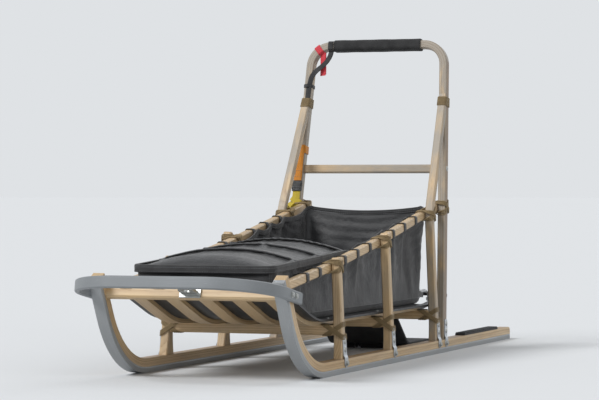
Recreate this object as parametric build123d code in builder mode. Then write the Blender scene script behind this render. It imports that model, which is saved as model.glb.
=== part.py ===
from build123d import *
from math import cos, degrees, hypot, radians, sin, tan
import os

os.makedirs("parts", exist_ok=True)

# Ash dog sled in millimetres. +Z is up, the sled points along -Y and +X is its left side.
# The origin is on the ground, under the middle of the sled's length and width.

# Overall sizes
overall_length = 2340       # brush bow's front to the runners' tails
handle_height = 980         # top of the hand grip above the ground
track = 520                 # middle of one runner to middle of the other
flare = 2.5                 # degrees that uprights lean inwards
seat_gap = 0.3              # room between a lashed or laid piece and its seat

# Runners: an ash beam over an aluminium rail and a plastic shoe
runner_width = 32
wood_height = 24
strip_height = 9            # of which the foot is sunk in the shoe
shoe_height = 12
rail_flange = 4             # the strip's full-width part, under the ash
rail_foot_width = 20        # the strip's foot, which the shoe slides onto
toe_radius = 300            # of the sole
toe_angle = 62
toe_straight = 120
tail_round = 16

# Brush bow
brush_reach = 185           # ahead of the runners' tips
brush_thickness = 14
brush_depth = 32
brush_corner = 172
brush_pitch = 10
brush_lap = 105             # stretch of each leg beside the runner, behind the tip
brush_drop = 26             # middle of the legs below the runners' tips

# Bed
bed_height = 150            # top of the plastic sheet above the ground
sheet_thickness = 6
slat_thickness = 12
slat_width = 38
slat_count = 5
slat_span = 380             # middle of the first slat to middle of the last
crossbar_depth = 28
crossbar_width = 30
crossbar_round = 5
nose_bar_size = 26
nose_bar_place = 62         # along the runners' straight tips
nose_bar_inset = 8          # middle of the bar below the runners' upper faces
bed_radius = 400
bed_slope = 20
bed_overhang = 8            # sheet and slats past the outer edge of the end bars
sheet_side_gap = 3
sheet_corner = 24
slat_corner = 8

# Uprights
upright_thickness = 25
upright_foot = 52
upright_waist = 26          # width above the flared foot
upright_head = 22
upright_flare_height = 95
upright_round = 8
edge_ease = 3               # chamfer along the edges of ash pieces
front_upright_y = -500
middle_upright_y = -70
rear_upright_y = 370
upright_rise = 14           # uprights stand above the side rails

# Side rails, by the height of their underside above the runners' tops
rail_thickness = 22
rail_depth = 24
rail_front_height = 240
rail_middle_height = 300
rail_bow_height = 405
rail_nose_height = 190
rail_bend = 700
rail_tail = 45              # past the middle of the driving bow's leg
rail_end_round = 9
brace_width = 20            # rear upright above the side rail, where it leans back to the bow
brace_reach = 790           # height on the bow where it meets it
brace_bend = 160

# Driving bow
bow_foot_y = 440
bow_lean = 10
bow_depth = 30
bow_corner = 80
bow_bar_height = 535        # cross piece above the feet, along the bow
bow_bar_depth = 26
bow_bar_thickness = 20
grip_wall = 6
grip_length = 290
grip_round = 13

# Brackets that tie the uprights' and the bow's feet to the runners
bracket_width = 26
bracket_thickness = 2.5
bracket_drop = 22           # below the runners' tops
bracket_rise = 62
bracket_jog = 10            # height at which it meets the foot
bracket_bend = 8
bracket_corner = 6

# Foot pads on the runners
pad_setback = 150           # ahead of the runners' tails
pad_length = 380
pad_thickness = 6
pad_rib_height = 3
pad_rib_count = 16

# Load bag
bag_width = 400
bag_wall = 6
bag_nose_height = 62
bag_nose_setback = 55       # behind the nose bar
bag_cover_end_y = -300
bag_cover_rise = 178        # rim above the bed where the cover ends
bag_rear_rise = 300         # rim above the bed at the rear
bag_rear_gap = 14           # rear wall ahead of the bow's front face
bag_corner = 26             # round in plan
cover_crown = 38
cover_wall = 5

# Strap on the right leg of the driving bow
strap_width = 25
strap_thickness = 3
strap_top = 610             # along the leg from its foot
strap_length = 120
buckle_length = 32
buckle_width = 34
buckle_thickness = 11
lower_strap_length = 46

# Hinge of the claw brake and the drag mat
rod_radius = 6
rod_setback = 28            # behind the rear crossbar
running_clearance = 0.05
ear_play = 0.5              # between the brake's sleeves and the ears
ear_thickness = 6
ear_radius = 13
ear_base_thickness = 5
ear_base_width = 44
sleeve_wall = 4
rod_end = 10
collar_thickness = 5

# Claw brake
brake_arm_x = 160
brake_bar_width = 18
brake_bar_thickness = 10
brake_length = 420
brake_corner = 48
brake_rise = 6              # degrees above level at rest
brake_sleeve_length = 26
tread_length = 168
tread_width = 46
tread_plate = 4
tread_flange = 14
tread_rib_count = 9
tread_rib_height = 3
claw_x = 100
claw_thickness = 10
claw_wall = 6               # of the claw round the bar
claw_reach = 76
claw_tip = 5
claw_rake = 16
claw_belly = 9

# Drag mat
mat_width = 260
mat_thickness = 8
mat_lug_height = 14
mat_lug_length = 17         # at its root
mat_lug_taper = 14          # degrees
mat_lug_count = 6
mat_lug_widths = (70, 88, 70)
mat_window_width = 26
mat_window_length = 12
mat_slope = 38
mat_bend = 60
mat_tail = 330              # rear edge behind the hinge
mat_lug_margin = 12
mat_bar_thickness = 5
mat_bar_length = 34
mat_bar_bite = 1            # the bar's top lies this far inside the sleeves' outer face
mat_sleeve_x = 96
mat_sleeve_length = 44

# Tow eye
eye_plate = 8
eye_hole = 11
eye_radius = 23
eye_reach = 30
eye_base_width = 60
eye_base_thickness = 5

# Places that follow from the sizes
front_y = -overall_length / 2
tail_y = overall_length / 2
tip_y = front_y + brush_reach
runner_x = track / 2
runner_top = shoe_height + rail_flange + wood_height
toe = radians(toe_angle)
toe_y = tip_y + toe_radius * sin(toe) + toe_straight * cos(toe)
lean = radians(bow_lean)
tilt = radians(flare)
slope = radians(bed_slope)
crossbar_top = bed_height - sheet_thickness - slat_thickness


def turned_point(bend_y, centre_z, angle, height, along):
    """Place on a strip past its upturned bend: height is its height where it lies flat."""
    reach = centre_z - height
    y = bend_y - reach * sin(angle) - along * cos(angle)
    z = centre_z - reach * cos(angle) + along * sin(angle)
    return (y, z)


def turned_strip(rear_y, bend_y, centre_z, angle, low, high, straight):
    """Side outline of a strip that runs flat and then turns up at its front."""
    degrees_up = degrees(angle)
    with BuildSketch() as profile:
        with BuildLine():
            Line((rear_y, low), (bend_y, low))
            CenterArc((bend_y, centre_z), centre_z - low, -90, -degrees_up)
            Polyline(
                turned_point(bend_y, centre_z, angle, low, 0),
                turned_point(bend_y, centre_z, angle, low, straight),
                turned_point(bend_y, centre_z, angle, high, straight),
                turned_point(bend_y, centre_z, angle, high, 0),
            )
            CenterArc((bend_y, centre_z), centre_z - high, -90, -degrees_up)
            Polyline((bend_y, high), (rear_y, high), (rear_y, low))
        make_face()
    return profile.sketch


def write(piece, name):
    """Label one finished piece and write it."""
    piece.part.label = name
    export_step(piece.part, f"parts/{name}.step")


def write_pair(piece, name):
    """Write a left-hand piece and its mirror image."""
    write(piece, f"{name}_left")
    with BuildPart() as other:
        mirror(piece.part, about=Plane.YZ)
    write(other, f"{name}_right")


# Runners, each a stack of three layers that turns up at the toe
runner_layers = (
    # name, lower face, upper face
    ("runner_shoe", 0, shoe_height),
    ("runner_rail", shoe_height, shoe_height + rail_flange),
    ("runner", shoe_height + rail_flange, runner_top),
)
groove_low = shoe_height + rail_flange - strip_height
for name, low, high in runner_layers:
    with BuildPart() as layer:
        with BuildSketch(Plane.YZ.offset(runner_x)):
            add(turned_strip(tail_y, toe_y, toe_radius, toe, low, high, toe_straight))
        extrude(amount=runner_width / 2, both=True)
        if name == "runner":
            tail_edge = layer.edges().filter_by(Axis.X).group_by(Axis.Y)[-1].sort_by(Axis.Z)[-1]
            fillet(tail_edge, tail_round)
        else:
            with BuildSketch(Plane.YZ.offset(runner_x)):
                add(turned_strip(tail_y, toe_y, toe_radius, toe, groove_low, shoe_height, toe_straight))
            groove_mode = Mode.ADD if name == "runner_rail" else Mode.SUBTRACT
            extrude(amount=rail_foot_width / 2, both=True, mode=groove_mode)
    write_pair(layer, name)

# Uprights, tapered towards their heads and cut level where they stand on the runners
side_plane = Plane(
    origin=(runner_x, 0, runner_top),
    x_dir=(0, 1, 0),
    z_dir=(cos(tilt), 0, sin(tilt)),
)
ground_cut = Plane.XY.offset(runner_top)
bow_plane = Plane(
    origin=(0, bow_foot_y, runner_top),
    x_dir=(1, 0, 0),
    z_dir=(0, -cos(lean), sin(lean)),
)
rail_climb = (rail_bow_height - rail_middle_height) / (bow_foot_y - middle_upright_y)
rail_rear_height = rail_middle_height + rail_climb * (rear_upright_y - middle_upright_y)
brace_y = bow_foot_y + brace_reach * sin(lean)
brace_height = brace_reach * cos(lean)
uprights = (
    # name, place along the sled, height of the side rail's underside there
    ("upright_front", front_upright_y, rail_front_height),
    ("upright_middle", middle_upright_y, rail_middle_height),
    ("upright_rear", rear_upright_y, rail_rear_height),
)
for name, y, rail_low in uprights:
    head = rail_low + rail_depth + upright_rise
    foot_front = y - upright_foot / 2
    foot_rear = y + upright_foot / 2
    with BuildPart() as upright:
        with BuildSketch(side_plane) as outline:
            with BuildLine():
                Polyline(
                    (foot_front, 0),
                    (foot_front, -upright_thickness),
                    (foot_rear, -upright_thickness),
                    (foot_rear, 0),
                )
                rear_flare = TangentArc(
                    (y + upright_waist / 2, upright_flare_height),
                    (foot_rear, 0),
                    tangent=(0, -1),
                )
                front_flare = TangentArc(
                    (y - upright_waist / 2, upright_flare_height),
                    (foot_front, 0),
                    tangent=(0, -1),
                )
                if name == "upright_rear":
                    # Above the rail the rear upright bends back to the driving bow
                    FilletPolyline(
                        front_flare @ 0,
                        (y - upright_head / 2, rail_low),
                        (brace_y, brace_height + brace_width),
                        radius=brace_bend,
                    )
                    Line((brace_y, brace_height + brace_width), (brace_y + brace_width, brace_height))
                    FilletPolyline(
                        (brace_y + brace_width, brace_height),
                        (y + upright_head / 2, rail_low),
                        rear_flare @ 0,
                        radius=brace_bend,
                    )
                else:
                    Polyline(
                        front_flare @ 0,
                        (y - upright_head / 2, head),
                        (y + upright_head / 2, head),
                        rear_flare @ 0,
                    )
            make_face()
            if name != "upright_rear":
                fillet(outline.vertices().group_by(Axis.Y)[-1], upright_round)
        extrude(amount=upright_thickness / 2, both=True)
        chamfer(upright.faces().filter_by(side_plane).edges(), edge_ease)
        split(bisect_by=ground_cut, keep=Keep.TOP)
        if name == "upright_rear":
            split(bisect_by=bow_plane.offset(bow_depth / 2 + seat_gap), keep=Keep.TOP)
    write_pair(upright, name)


def upright_inner_x(height):
    """Inner face of an upright at a height above the ground."""
    return runner_x - (height - runner_top) * tan(tilt) - upright_thickness / 2 / cos(tilt)


# Crossbars between the uprights, their ends cut to the uprights' lean
crossbars = (
    ("crossbar_front", front_upright_y),
    ("crossbar_middle", middle_upright_y),
    ("crossbar_rear", rear_upright_y),
)
crossbar_low = crossbar_top - crossbar_depth
for name, y in crossbars:
    with BuildPart() as crossbar:
        with BuildSketch(Plane.XZ.offset(-y)):
            with BuildLine():
                Polyline(
                    (-upright_inner_x(crossbar_low), crossbar_low),
                    (upright_inner_x(crossbar_low), crossbar_low),
                    (upright_inner_x(crossbar_top), crossbar_top),
                    (-upright_inner_x(crossbar_top), crossbar_top),
                    close=True,
                )
            make_face()
        extrude(amount=crossbar_width / 2, both=True)
        chamfer(crossbar.edges().filter_by(Axis.X).group_by(Axis.Z)[0], crossbar_round)
    write(crossbar, name)

# Nose bar between the runners' tips, turned so that the bed lies flat on it
nose_y, nose_z = turned_point(toe_y, toe_radius, toe, runner_top - nose_bar_inset, nose_bar_place)
nose_plane = Plane(origin=(0, nose_y, nose_z), x_dir=(1, 0, 0), z_dir=(0, sin(slope), cos(slope)))
nose_length = track - runner_width
with BuildPart(nose_plane) as nose_bar:
    Box(nose_length, nose_bar_size, nose_bar_size)
    chamfer(nose_bar.edges().filter_by(Axis.X).sort_by(Axis.Z)[:2], crossbar_round)
write(nose_bar, "crossbar_nose")

# Bed: slats along the sled with a plastic sheet on them, both turned up to the nose bar
bed_lift = nose_bar_size / 2 + slat_thickness + sheet_thickness
bed_nose_y = nose_y + bed_lift * sin(slope)
bed_nose_z = nose_z + bed_lift * cos(slope)
bed_centre_z = bed_height + bed_radius
bed_run = (bed_nose_z - bed_height - bed_radius * (1 - cos(slope))) / sin(slope)
bed_bend_y = bed_nose_y + bed_radius * sin(slope) + bed_run * cos(slope)
bed_front_run = bed_run + nose_bar_size / 2 + bed_overhang
bed_rear_y = rear_upright_y + crossbar_width / 2 + bed_overhang
slat_top = bed_height - sheet_thickness

with BuildPart() as slats:
    with BuildSketch(Plane.YZ):
        add(turned_strip(bed_rear_y, bed_bend_y, bed_centre_z, slope,
                         crossbar_top, slat_top, bed_front_run))
    extrude(amount=slat_width / 2, both=True)
    fillet(slats.edges().group_by(SortBy.LENGTH)[0], slat_corner)
with BuildPart() as bed_slats:
    with GridLocations(slat_span / (slat_count - 1), 1, slat_count, 1):
        add(slats.part)
write(bed_slats, "bed_slats")

with BuildPart() as bed_sheet:
    with BuildSketch(Plane.YZ):
        add(turned_strip(bed_rear_y, bed_bend_y, bed_centre_z, slope,
                         slat_top, bed_height, bed_front_run))
    extrude(amount=upright_inner_x(bed_height) - sheet_side_gap, both=True)
    fillet(bed_sheet.edges().group_by(SortBy.LENGTH)[0], sheet_corner)
write(bed_sheet, "bed_sheet")

# Side rails inside the uprights, from the bed's nose up to the driving bow
bow_rail_y = bow_foot_y + rail_bow_height * tan(lean)
rail_start_y = bed_nose_y - nose_bar_size
with BuildPart() as side_rail:
    with BuildSketch(side_plane.offset(-upright_thickness / 2 - seat_gap)) as outline:
        with BuildLine() as edges:
            FilletPolyline(
                (rail_start_y, rail_nose_height),
                (front_upright_y, rail_front_height),
                (middle_upright_y, rail_middle_height),
                (bow_rail_y + rail_tail, rail_bow_height),
                radius=rail_bend,
            )
            offset(amount=rail_depth, side=Side.LEFT)
        make_face()
        fillet(outline.vertices().group_by(Axis.X)[-1], rail_end_round)
    extrude(amount=-rail_thickness)
    chamfer(side_rail.faces().filter_by(side_plane).edges(), edge_ease)
    nose_cut = Plane(origin=(0, bed_nose_y, bed_nose_z), x_dir=(1, 0, 0), z_dir=nose_plane.z_dir)
    split(bisect_by=nose_cut, keep=Keep.TOP)
write_pair(side_rail, "side_rail")

# Brush bow, a band on edge round the nose, bolted to the runners' tips
brush_rise = radians(brush_pitch)
tip_z = turned_point(toe_y, toe_radius, toe, 0, toe_straight)[1]
brush_plane = Plane(
    origin=(0, tip_y, tip_z - brush_drop),
    x_dir=(1, 0, 0),
    z_dir=(0, sin(brush_rise), cos(brush_rise)),
)
brush_half = runner_x + runner_width / 2 + brush_thickness
brush_forward = (brush_reach - brush_depth / 2 * sin(brush_rise)) / cos(brush_rise)
with BuildPart() as brush_bow:
    with BuildSketch(brush_plane) as outline:
        with Locations((0, (brush_lap - brush_forward) / 2)):
            Rectangle(2 * brush_half, brush_lap + brush_forward)
        fillet(outline.vertices().group_by(Axis.Y)[0], brush_corner)
        with BuildSketch(mode=Mode.SUBTRACT) as inside:
            with Locations((0, (brush_lap - brush_forward + brush_thickness) / 2)):
                Rectangle(
                    2 * (brush_half - brush_thickness),
                    brush_lap + brush_forward - brush_thickness,
                )
            fillet(inside.vertices().group_by(Axis.Y)[0], brush_corner - brush_thickness)
    extrude(amount=brush_depth / 2, both=True)
    chamfer(brush_bow.faces().filter_by(brush_plane).edges(), edge_ease)
write(brush_bow, "brush_bow")

# Driving bow, one bent frame that leans back, its feet on the runners
bow_taper = cos(lean) * tan(tilt)
grip_up = upright_thickness / 2 + grip_wall
grip_out = bow_depth / 2 + grip_wall
grip_crest = (grip_up - grip_round) * cos(lean) + (grip_out - grip_round) * sin(lean) + grip_round
grip_level = (handle_height - runner_top - grip_crest) / cos(lean)
bow_top = grip_level + upright_thickness / 2


def bow_x(level):
    """Middle of the bow's leg at a distance up the bow from its foot."""
    return runner_x - level * bow_taper


def bow_outline(inset):
    """Outline of the bow, or of the space inside it, with its feet below the runners' tops."""
    foot = -bow_depth
    half = upright_thickness / 2 - inset
    top = bow_top - inset
    with BuildSketch() as outline:
        with BuildLine():
            Polyline(
                (-bow_x(foot) - half, foot),
                (bow_x(foot) + half, foot),
                (bow_x(top) + half, top),
                (-bow_x(top) - half, top),
                close=True,
            )
        make_face()
        fillet(outline.vertices().group_by(Axis.Y)[-1], bow_corner - inset)
    return outline.sketch


with BuildPart() as driving_bow:
    with BuildSketch(bow_plane):
        add(bow_outline(0))
        add(bow_outline(upright_thickness), mode=Mode.SUBTRACT)
    extrude(amount=bow_depth / 2, both=True)
    chamfer(driving_bow.faces().filter_by(bow_plane).edges(), edge_ease)
    split(bisect_by=ground_cut, keep=Keep.TOP)
write(driving_bow, "driving_bow")

# Hand grip, a foam sleeve round the bow's straight top
grip_plane = Plane(
    origin=(-grip_length / 2, bow_foot_y + grip_level * sin(lean), runner_top + grip_level * cos(lean)),
    x_dir=(0, -cos(lean), sin(lean)),
    z_dir=(1, 0, 0),
)
with BuildPart() as hand_grip:
    with BuildSketch(grip_plane):
        RectangleRounded(2 * grip_out, 2 * grip_up, grip_round)
        with BuildSketch(mode=Mode.SUBTRACT) as bar:
            Rectangle(bow_depth, upright_thickness)
            chamfer(bar.vertices(), edge_ease)
    extrude(amount=grip_length)
write(hand_grip, "hand_grip")

# Cross piece between the bow's legs
bar_low = bow_bar_height - bow_bar_depth / 2
bar_high = bow_bar_height + bow_bar_depth / 2
with BuildPart() as bow_crossbar:
    with BuildSketch(bow_plane):
        with BuildLine():
            Polyline(
                (-bow_x(bar_low) + upright_thickness / 2, bar_low),
                (bow_x(bar_low) - upright_thickness / 2, bar_low),
                (bow_x(bar_high) - upright_thickness / 2, bar_high),
                (-bow_x(bar_high) + upright_thickness / 2, bar_high),
                close=True,
            )
        make_face()
    extrude(amount=bow_bar_thickness / 2, both=True)
    chamfer(bow_crossbar.edges().filter_by(Axis.X), edge_ease)
write(bow_crossbar, "bow_crossbar")

# Brackets, each one strip down the outside of a foot and over the edge of the runner
bracket_places = (
    # place of the foot along the sled, lean of what stands there
    (front_upright_y, 0),
    (middle_upright_y, 0),
    (rear_upright_y, 0),
    (bow_foot_y, lean),
)
runner_side_x = runner_x + runner_width / 2 + seat_gap
foot_side_x = runner_x + upright_thickness / 2 / cos(tilt) + seat_gap
with BuildPart() as left_brackets:
    for y, back in bracket_places:
        taper = cos(back) * tan(tilt)
        bracket_plane = Plane(
            origin=(0, y, runner_top),
            x_dir=(1, 0, 0),
            z_dir=(0, -cos(back), sin(back)),
        )
        with BuildPart() as bracket:
            with BuildSketch(bracket_plane):
                with BuildLine():
                    FilletPolyline(
                        (runner_side_x, -bracket_drop),
                        (runner_side_x, bracket_thickness),
                        (foot_side_x - bracket_jog * taper, bracket_jog),
                        (foot_side_x - bracket_rise * taper, bracket_rise),
                        radius=bracket_bend,
                    )
                    offset(amount=bracket_thickness, side=Side.RIGHT)
                make_face()
            extrude(amount=bracket_width / 2, both=True)
            ends = bracket.edges().filter_by(GeomType.LINE).group_by(SortBy.LENGTH)[0]
            chamfer(ends, bracket_corner)
        add(bracket.part)
with BuildPart() as foot_brackets:
    add(left_brackets.part)
    mirror(left_brackets.part, about=Plane.YZ)
write(foot_brackets, "foot_brackets")

# Ribbed foot pads on the runners behind the bow
pad_pitch = pad_length / pad_rib_count
pad_middle_y = tail_y - pad_setback - pad_length / 2
with BuildPart() as foot_pad:
    with BuildSketch(Plane.XY.offset(runner_top)):
        with Locations((runner_x, pad_middle_y)):
            Rectangle(runner_width, pad_length)
    extrude(amount=pad_thickness)
    with BuildSketch(Plane.XY.offset(runner_top + pad_thickness)):
        with Locations((runner_x, pad_middle_y)):
            with GridLocations(1, pad_pitch, 1, pad_rib_count):
                Rectangle(runner_width, pad_pitch / 2)
    extrude(amount=pad_rib_height)
write_pair(foot_pad, "foot_pad")

# Load bag: an open tub on the bed that follows its upturned nose
bag_floor = bed_height + seat_gap
bag_nose_y = bed_nose_y + bag_nose_setback
bag_nose_z = bed_nose_z - bag_nose_setback * tan(slope) + bag_nose_height
bag_low_y = bow_foot_y + (bag_floor - runner_top) * tan(lean) - bow_depth / 2 - bag_rear_gap
bag_high_z = bed_height + bag_rear_rise
bag_high_y = bag_low_y + (bag_high_z - bag_floor) * tan(lean)
cover_end_z = bed_height + bag_cover_rise


def bag_outline(inset, lift):
    """Side outline of the bag, inset by its wall and lifted past the rim for the space inside."""
    floor = bag_floor + inset
    nose_along = (bed_bend_y - (bed_centre_z - floor) * sin(slope) - bag_nose_y - inset) / cos(slope)
    with BuildSketch() as outline:
        with BuildLine():
            Line((bag_low_y - inset, floor), (bed_bend_y, floor))
            CenterArc((bed_bend_y, bed_centre_z), bed_centre_z - floor, -90, -bed_slope)
            Polyline(
                turned_point(bed_bend_y, bed_centre_z, slope, floor, 0),
                turned_point(bed_bend_y, bed_centre_z, slope, floor, nose_along),
                (bag_nose_y + inset, bag_nose_z + lift),
                (bag_cover_end_y, cover_end_z + lift),
                (bag_high_y - inset + lift * tan(lean), bag_high_z + lift),
                (bag_low_y - inset, floor),
            )
        make_face()
    return outline.sketch


def bag_solid(inset, lift):
    """Solid of the bag, or of the space inside it, with rounded upright corners."""
    with BuildPart() as solid:
        with BuildSketch(Plane.YZ):
            add(bag_outline(inset, lift))
        extrude(amount=bag_width / 2 - inset, both=True)
        corners = solid.edges().filter_by(lambda edge: abs(edge.tangent_at(0.5).Z) > 0.9)
        fillet(corners, bag_corner - inset)
    return solid.part


with BuildPart() as load_bag:
    add(bag_solid(0, 0))
    add(bag_solid(bag_wall, bag_rear_rise), mode=Mode.SUBTRACT)
write(load_bag, "load_bag")

# Crowned cover over the front of the bag, closed at its nose
cover_length = hypot(bag_cover_end_y - bag_nose_y, cover_end_z - bag_nose_z)
cover_rise = (cover_end_z - bag_nose_z) / cover_length
cover_forward = (bag_cover_end_y - bag_nose_y) / cover_length
cover_plane = Plane(
    origin=(0, bag_nose_y - seat_gap * cover_rise, bag_nose_z + seat_gap * cover_forward),
    x_dir=(-1, 0, 0),
    z_dir=(0, cover_forward, cover_rise),
)

cover_top = Plane(
    origin=cover_plane.origin,
    x_dir=(1, 0, 0),
    z_dir=(0, -cover_rise, cover_forward),
)


def crowned_solid(inset):
    """Solid of the cover, or of the space inside it, with rounded corners at its nose."""
    half_width = bag_width / 2 - inset
    with BuildPart() as solid:
        with BuildSketch(cover_plane.offset(inset)):
            with BuildLine():
                ThreePointArc((-half_width, 0), (0, cover_crown - inset), (half_width, 0))
                Line((half_width, 0), (-half_width, 0))
            make_face()
        extrude(amount=cover_length)
        with BuildSketch(cover_top) as plan:
            with Locations((0, inset)):
                Rectangle(
                    2 * (half_width + cover_wall),
                    2 * cover_length,
                    align=(Align.CENTER, Align.MIN),
                )
            fillet(plan.vertices().group_by(Axis.Y)[0], bag_corner + cover_wall - inset)
        extrude(amount=cover_crown, both=True, mode=Mode.INTERSECT)
    return solid.part


with BuildPart() as bag_cover:
    add(crowned_solid(0))
    add(crowned_solid(cover_wall), mode=Mode.SUBTRACT)
write(bag_cover, "bag_cover")

# Webbing strap and buckle on the front of the right leg
strap_plane = bow_plane.offset(bow_depth / 2 + seat_gap)
buckle_top = strap_top - strap_length
buckle_low = buckle_top - buckle_length
strap_pieces = (
    # name, upper end, lower end, width, thickness
    ("strap_upper", strap_top, buckle_top, strap_width, strap_thickness),
    ("strap_buckle", buckle_top, buckle_low, buckle_width, buckle_thickness),
    ("strap_lower", buckle_low, buckle_low - lower_strap_length, strap_width, strap_thickness),
)
for name, high, low, width, thickness in strap_pieces:
    with BuildPart() as strap_piece:
        with BuildSketch(strap_plane):
            with BuildLine():
                Polyline(
                    (-bow_x(low) - width / 2, low),
                    (-bow_x(low) + width / 2, low),
                    (-bow_x(high) + width / 2, high),
                    (-bow_x(high) - width / 2, high),
                    close=True,
                )
            make_face()
        extrude(amount=thickness)
    write(strap_piece, name)

# Hinge rod and its ears on the rear crossbar
hinge_face_y = rear_upright_y + crossbar_width / 2
hinge_y = hinge_face_y + rod_setback
hinge_z = crossbar_low + crossbar_depth / 2
ear_x = brake_arm_x + brake_sleeve_length / 2 + ear_play + ear_thickness / 2
rod_length = 2 * (ear_x + ear_thickness / 2 + rod_end)
bore_radius = rod_radius + running_clearance
with BuildPart() as hinge_rod:
    with BuildSketch(Plane.YZ):
        with Locations((hinge_y, hinge_z)):
            Circle(rod_radius)
    extrude(amount=rod_length / 2, both=True)
    for end in (1, -1):
        with BuildSketch(Plane.YZ.offset(end * (rod_length / 2 - collar_thickness / 2))):
            with Locations((hinge_y, hinge_z)):
                Circle(rod_radius + sleeve_wall)
        extrude(amount=collar_thickness / 2, both=True)
write(hinge_rod, "hinge_rod")

with BuildPart() as ear:
    with BuildSketch(Plane.YZ.offset(ear_x)):
        with Locations((hinge_y, hinge_z)):
            Circle(ear_radius)
        with Locations(((hinge_face_y + hinge_y) / 2, hinge_z)):
            Rectangle(rod_setback, 2 * ear_radius)
    extrude(amount=ear_thickness / 2, both=True)
    with BuildSketch(Plane.XZ.offset(-hinge_face_y)):
        with Locations((ear_x, hinge_z)):
            Rectangle(ear_base_width, 2 * ear_radius)
    extrude(amount=-ear_base_thickness)
    with BuildSketch(Plane.YZ.offset(ear_x)):
        with Locations((hinge_y, hinge_z)):
            Circle(bore_radius)
    extrude(amount=ear_thickness, both=True, mode=Mode.SUBTRACT)
with BuildPart() as hinge_ears:
    add(ear.part)
    mirror(ear.part, about=Plane.YZ)
write(hinge_ears, "hinge_ears")

# Claw brake: a flat bar bent round from the hinge rod, with a tread over it and two claws
rise = radians(brake_rise)
brake_plane = Plane(
    origin=(0, hinge_y, hinge_z),
    x_dir=(1, 0, 0),
    z_dir=(0, -sin(rise), cos(rise)),
)
brake_inner_x = brake_arm_x - brake_bar_width / 2
with BuildPart() as brake_frame:
    with BuildSketch(brake_plane) as outline:
        with Locations((0, (brake_length + brake_bar_width / 2) / 2)):
            Rectangle(2 * brake_arm_x + brake_bar_width, brake_length + brake_bar_width / 2)
        fillet(outline.vertices().group_by(Axis.Y)[-1], brake_corner)
        with BuildSketch(mode=Mode.SUBTRACT) as inside:
            with Locations((0, (brake_length - brake_bar_width / 2) / 2)):
                Rectangle(2 * brake_inner_x, brake_length - brake_bar_width / 2)
            fillet(inside.vertices().group_by(Axis.Y)[-1], brake_corner - brake_bar_width)
    extrude(amount=brake_bar_thickness / 2, both=True)
    for side in (1, -1):
        with BuildSketch(Plane.YZ.offset(side * brake_arm_x)):
            with Locations((hinge_y, hinge_z)):
                Circle(rod_radius + sleeve_wall)
        extrude(amount=brake_sleeve_length / 2, both=True)
    with BuildSketch(Plane.YZ):
        with Locations((hinge_y, hinge_z)):
            Circle(bore_radius)
    extrude(amount=brake_arm_x + brake_sleeve_length, both=True, mode=Mode.SUBTRACT)
write(brake_frame, "brake_frame")

# The tread is a channel that sits over the rear bar, with ribs across the foot
tread_face = brake_bar_thickness / 2
with BuildPart(brake_plane) as brake_tread:
    with Locations((0, brake_length, tread_face)):
        Box(tread_length, tread_width, tread_plate, align=(Align.CENTER, Align.CENTER, Align.MIN))
        with GridLocations(tread_length / tread_rib_count, 1, tread_rib_count, 1):
            Box(
                tread_length / tread_rib_count / 2,
                tread_width,
                tread_plate + tread_rib_height,
                align=(Align.CENTER, Align.CENTER, Align.MIN),
            )
    for side in (1, -1):
        with Locations((0, brake_length + side * (tread_width - tread_plate) / 2, tread_face)):
            Box(
                tread_length,
                tread_plate,
                tread_flange,
                align=(Align.CENTER, Align.CENTER, Align.MAX),
            )
write(brake_tread, "brake_tread")

# Each claw grips the bar and curves down and forwards to its tip
claw_half = brake_bar_width / 2 + claw_wall
claw_top = brake_bar_thickness / 2 + claw_wall
claw_plane = Plane(origin=(claw_x, hinge_y, hinge_z), x_dir=(0, cos(rise), sin(rise)), z_dir=(1, 0, 0))
root_front = brake_length - claw_half
root_rear = brake_length + claw_half
tip_front = brake_length - claw_rake - claw_tip
tip_rear = brake_length - claw_rake + claw_tip
belly_drop = claw_reach / 2 + claw_wall
with BuildPart() as claw:
    with BuildSketch(claw_plane):
        with BuildLine():
            Polyline(
                (root_front, -claw_top),
                (root_front, claw_top),
                (root_rear, claw_top),
                (root_rear, -claw_top),
            )
            ThreePointArc(
                (root_rear, -claw_top),
                ((root_rear + tip_rear) / 2 + claw_belly, -belly_drop),
                (tip_rear, -claw_reach),
            )
            Line((tip_rear, -claw_reach), (tip_front, -claw_reach))
            ThreePointArc(
                (tip_front, -claw_reach),
                ((root_front + tip_front) / 2 + claw_belly, -belly_drop),
                (root_front, -claw_top),
            )
        make_face()
        with Locations((brake_length, 0)):
            Rectangle(brake_bar_width, brake_bar_thickness, mode=Mode.SUBTRACT)
    extrude(amount=claw_thickness / 2, both=True)
with BuildPart() as brake_claws:
    add(claw.part)
    mirror(claw.part, about=Plane.YZ)
write(brake_claws, "brake_claws")

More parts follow.
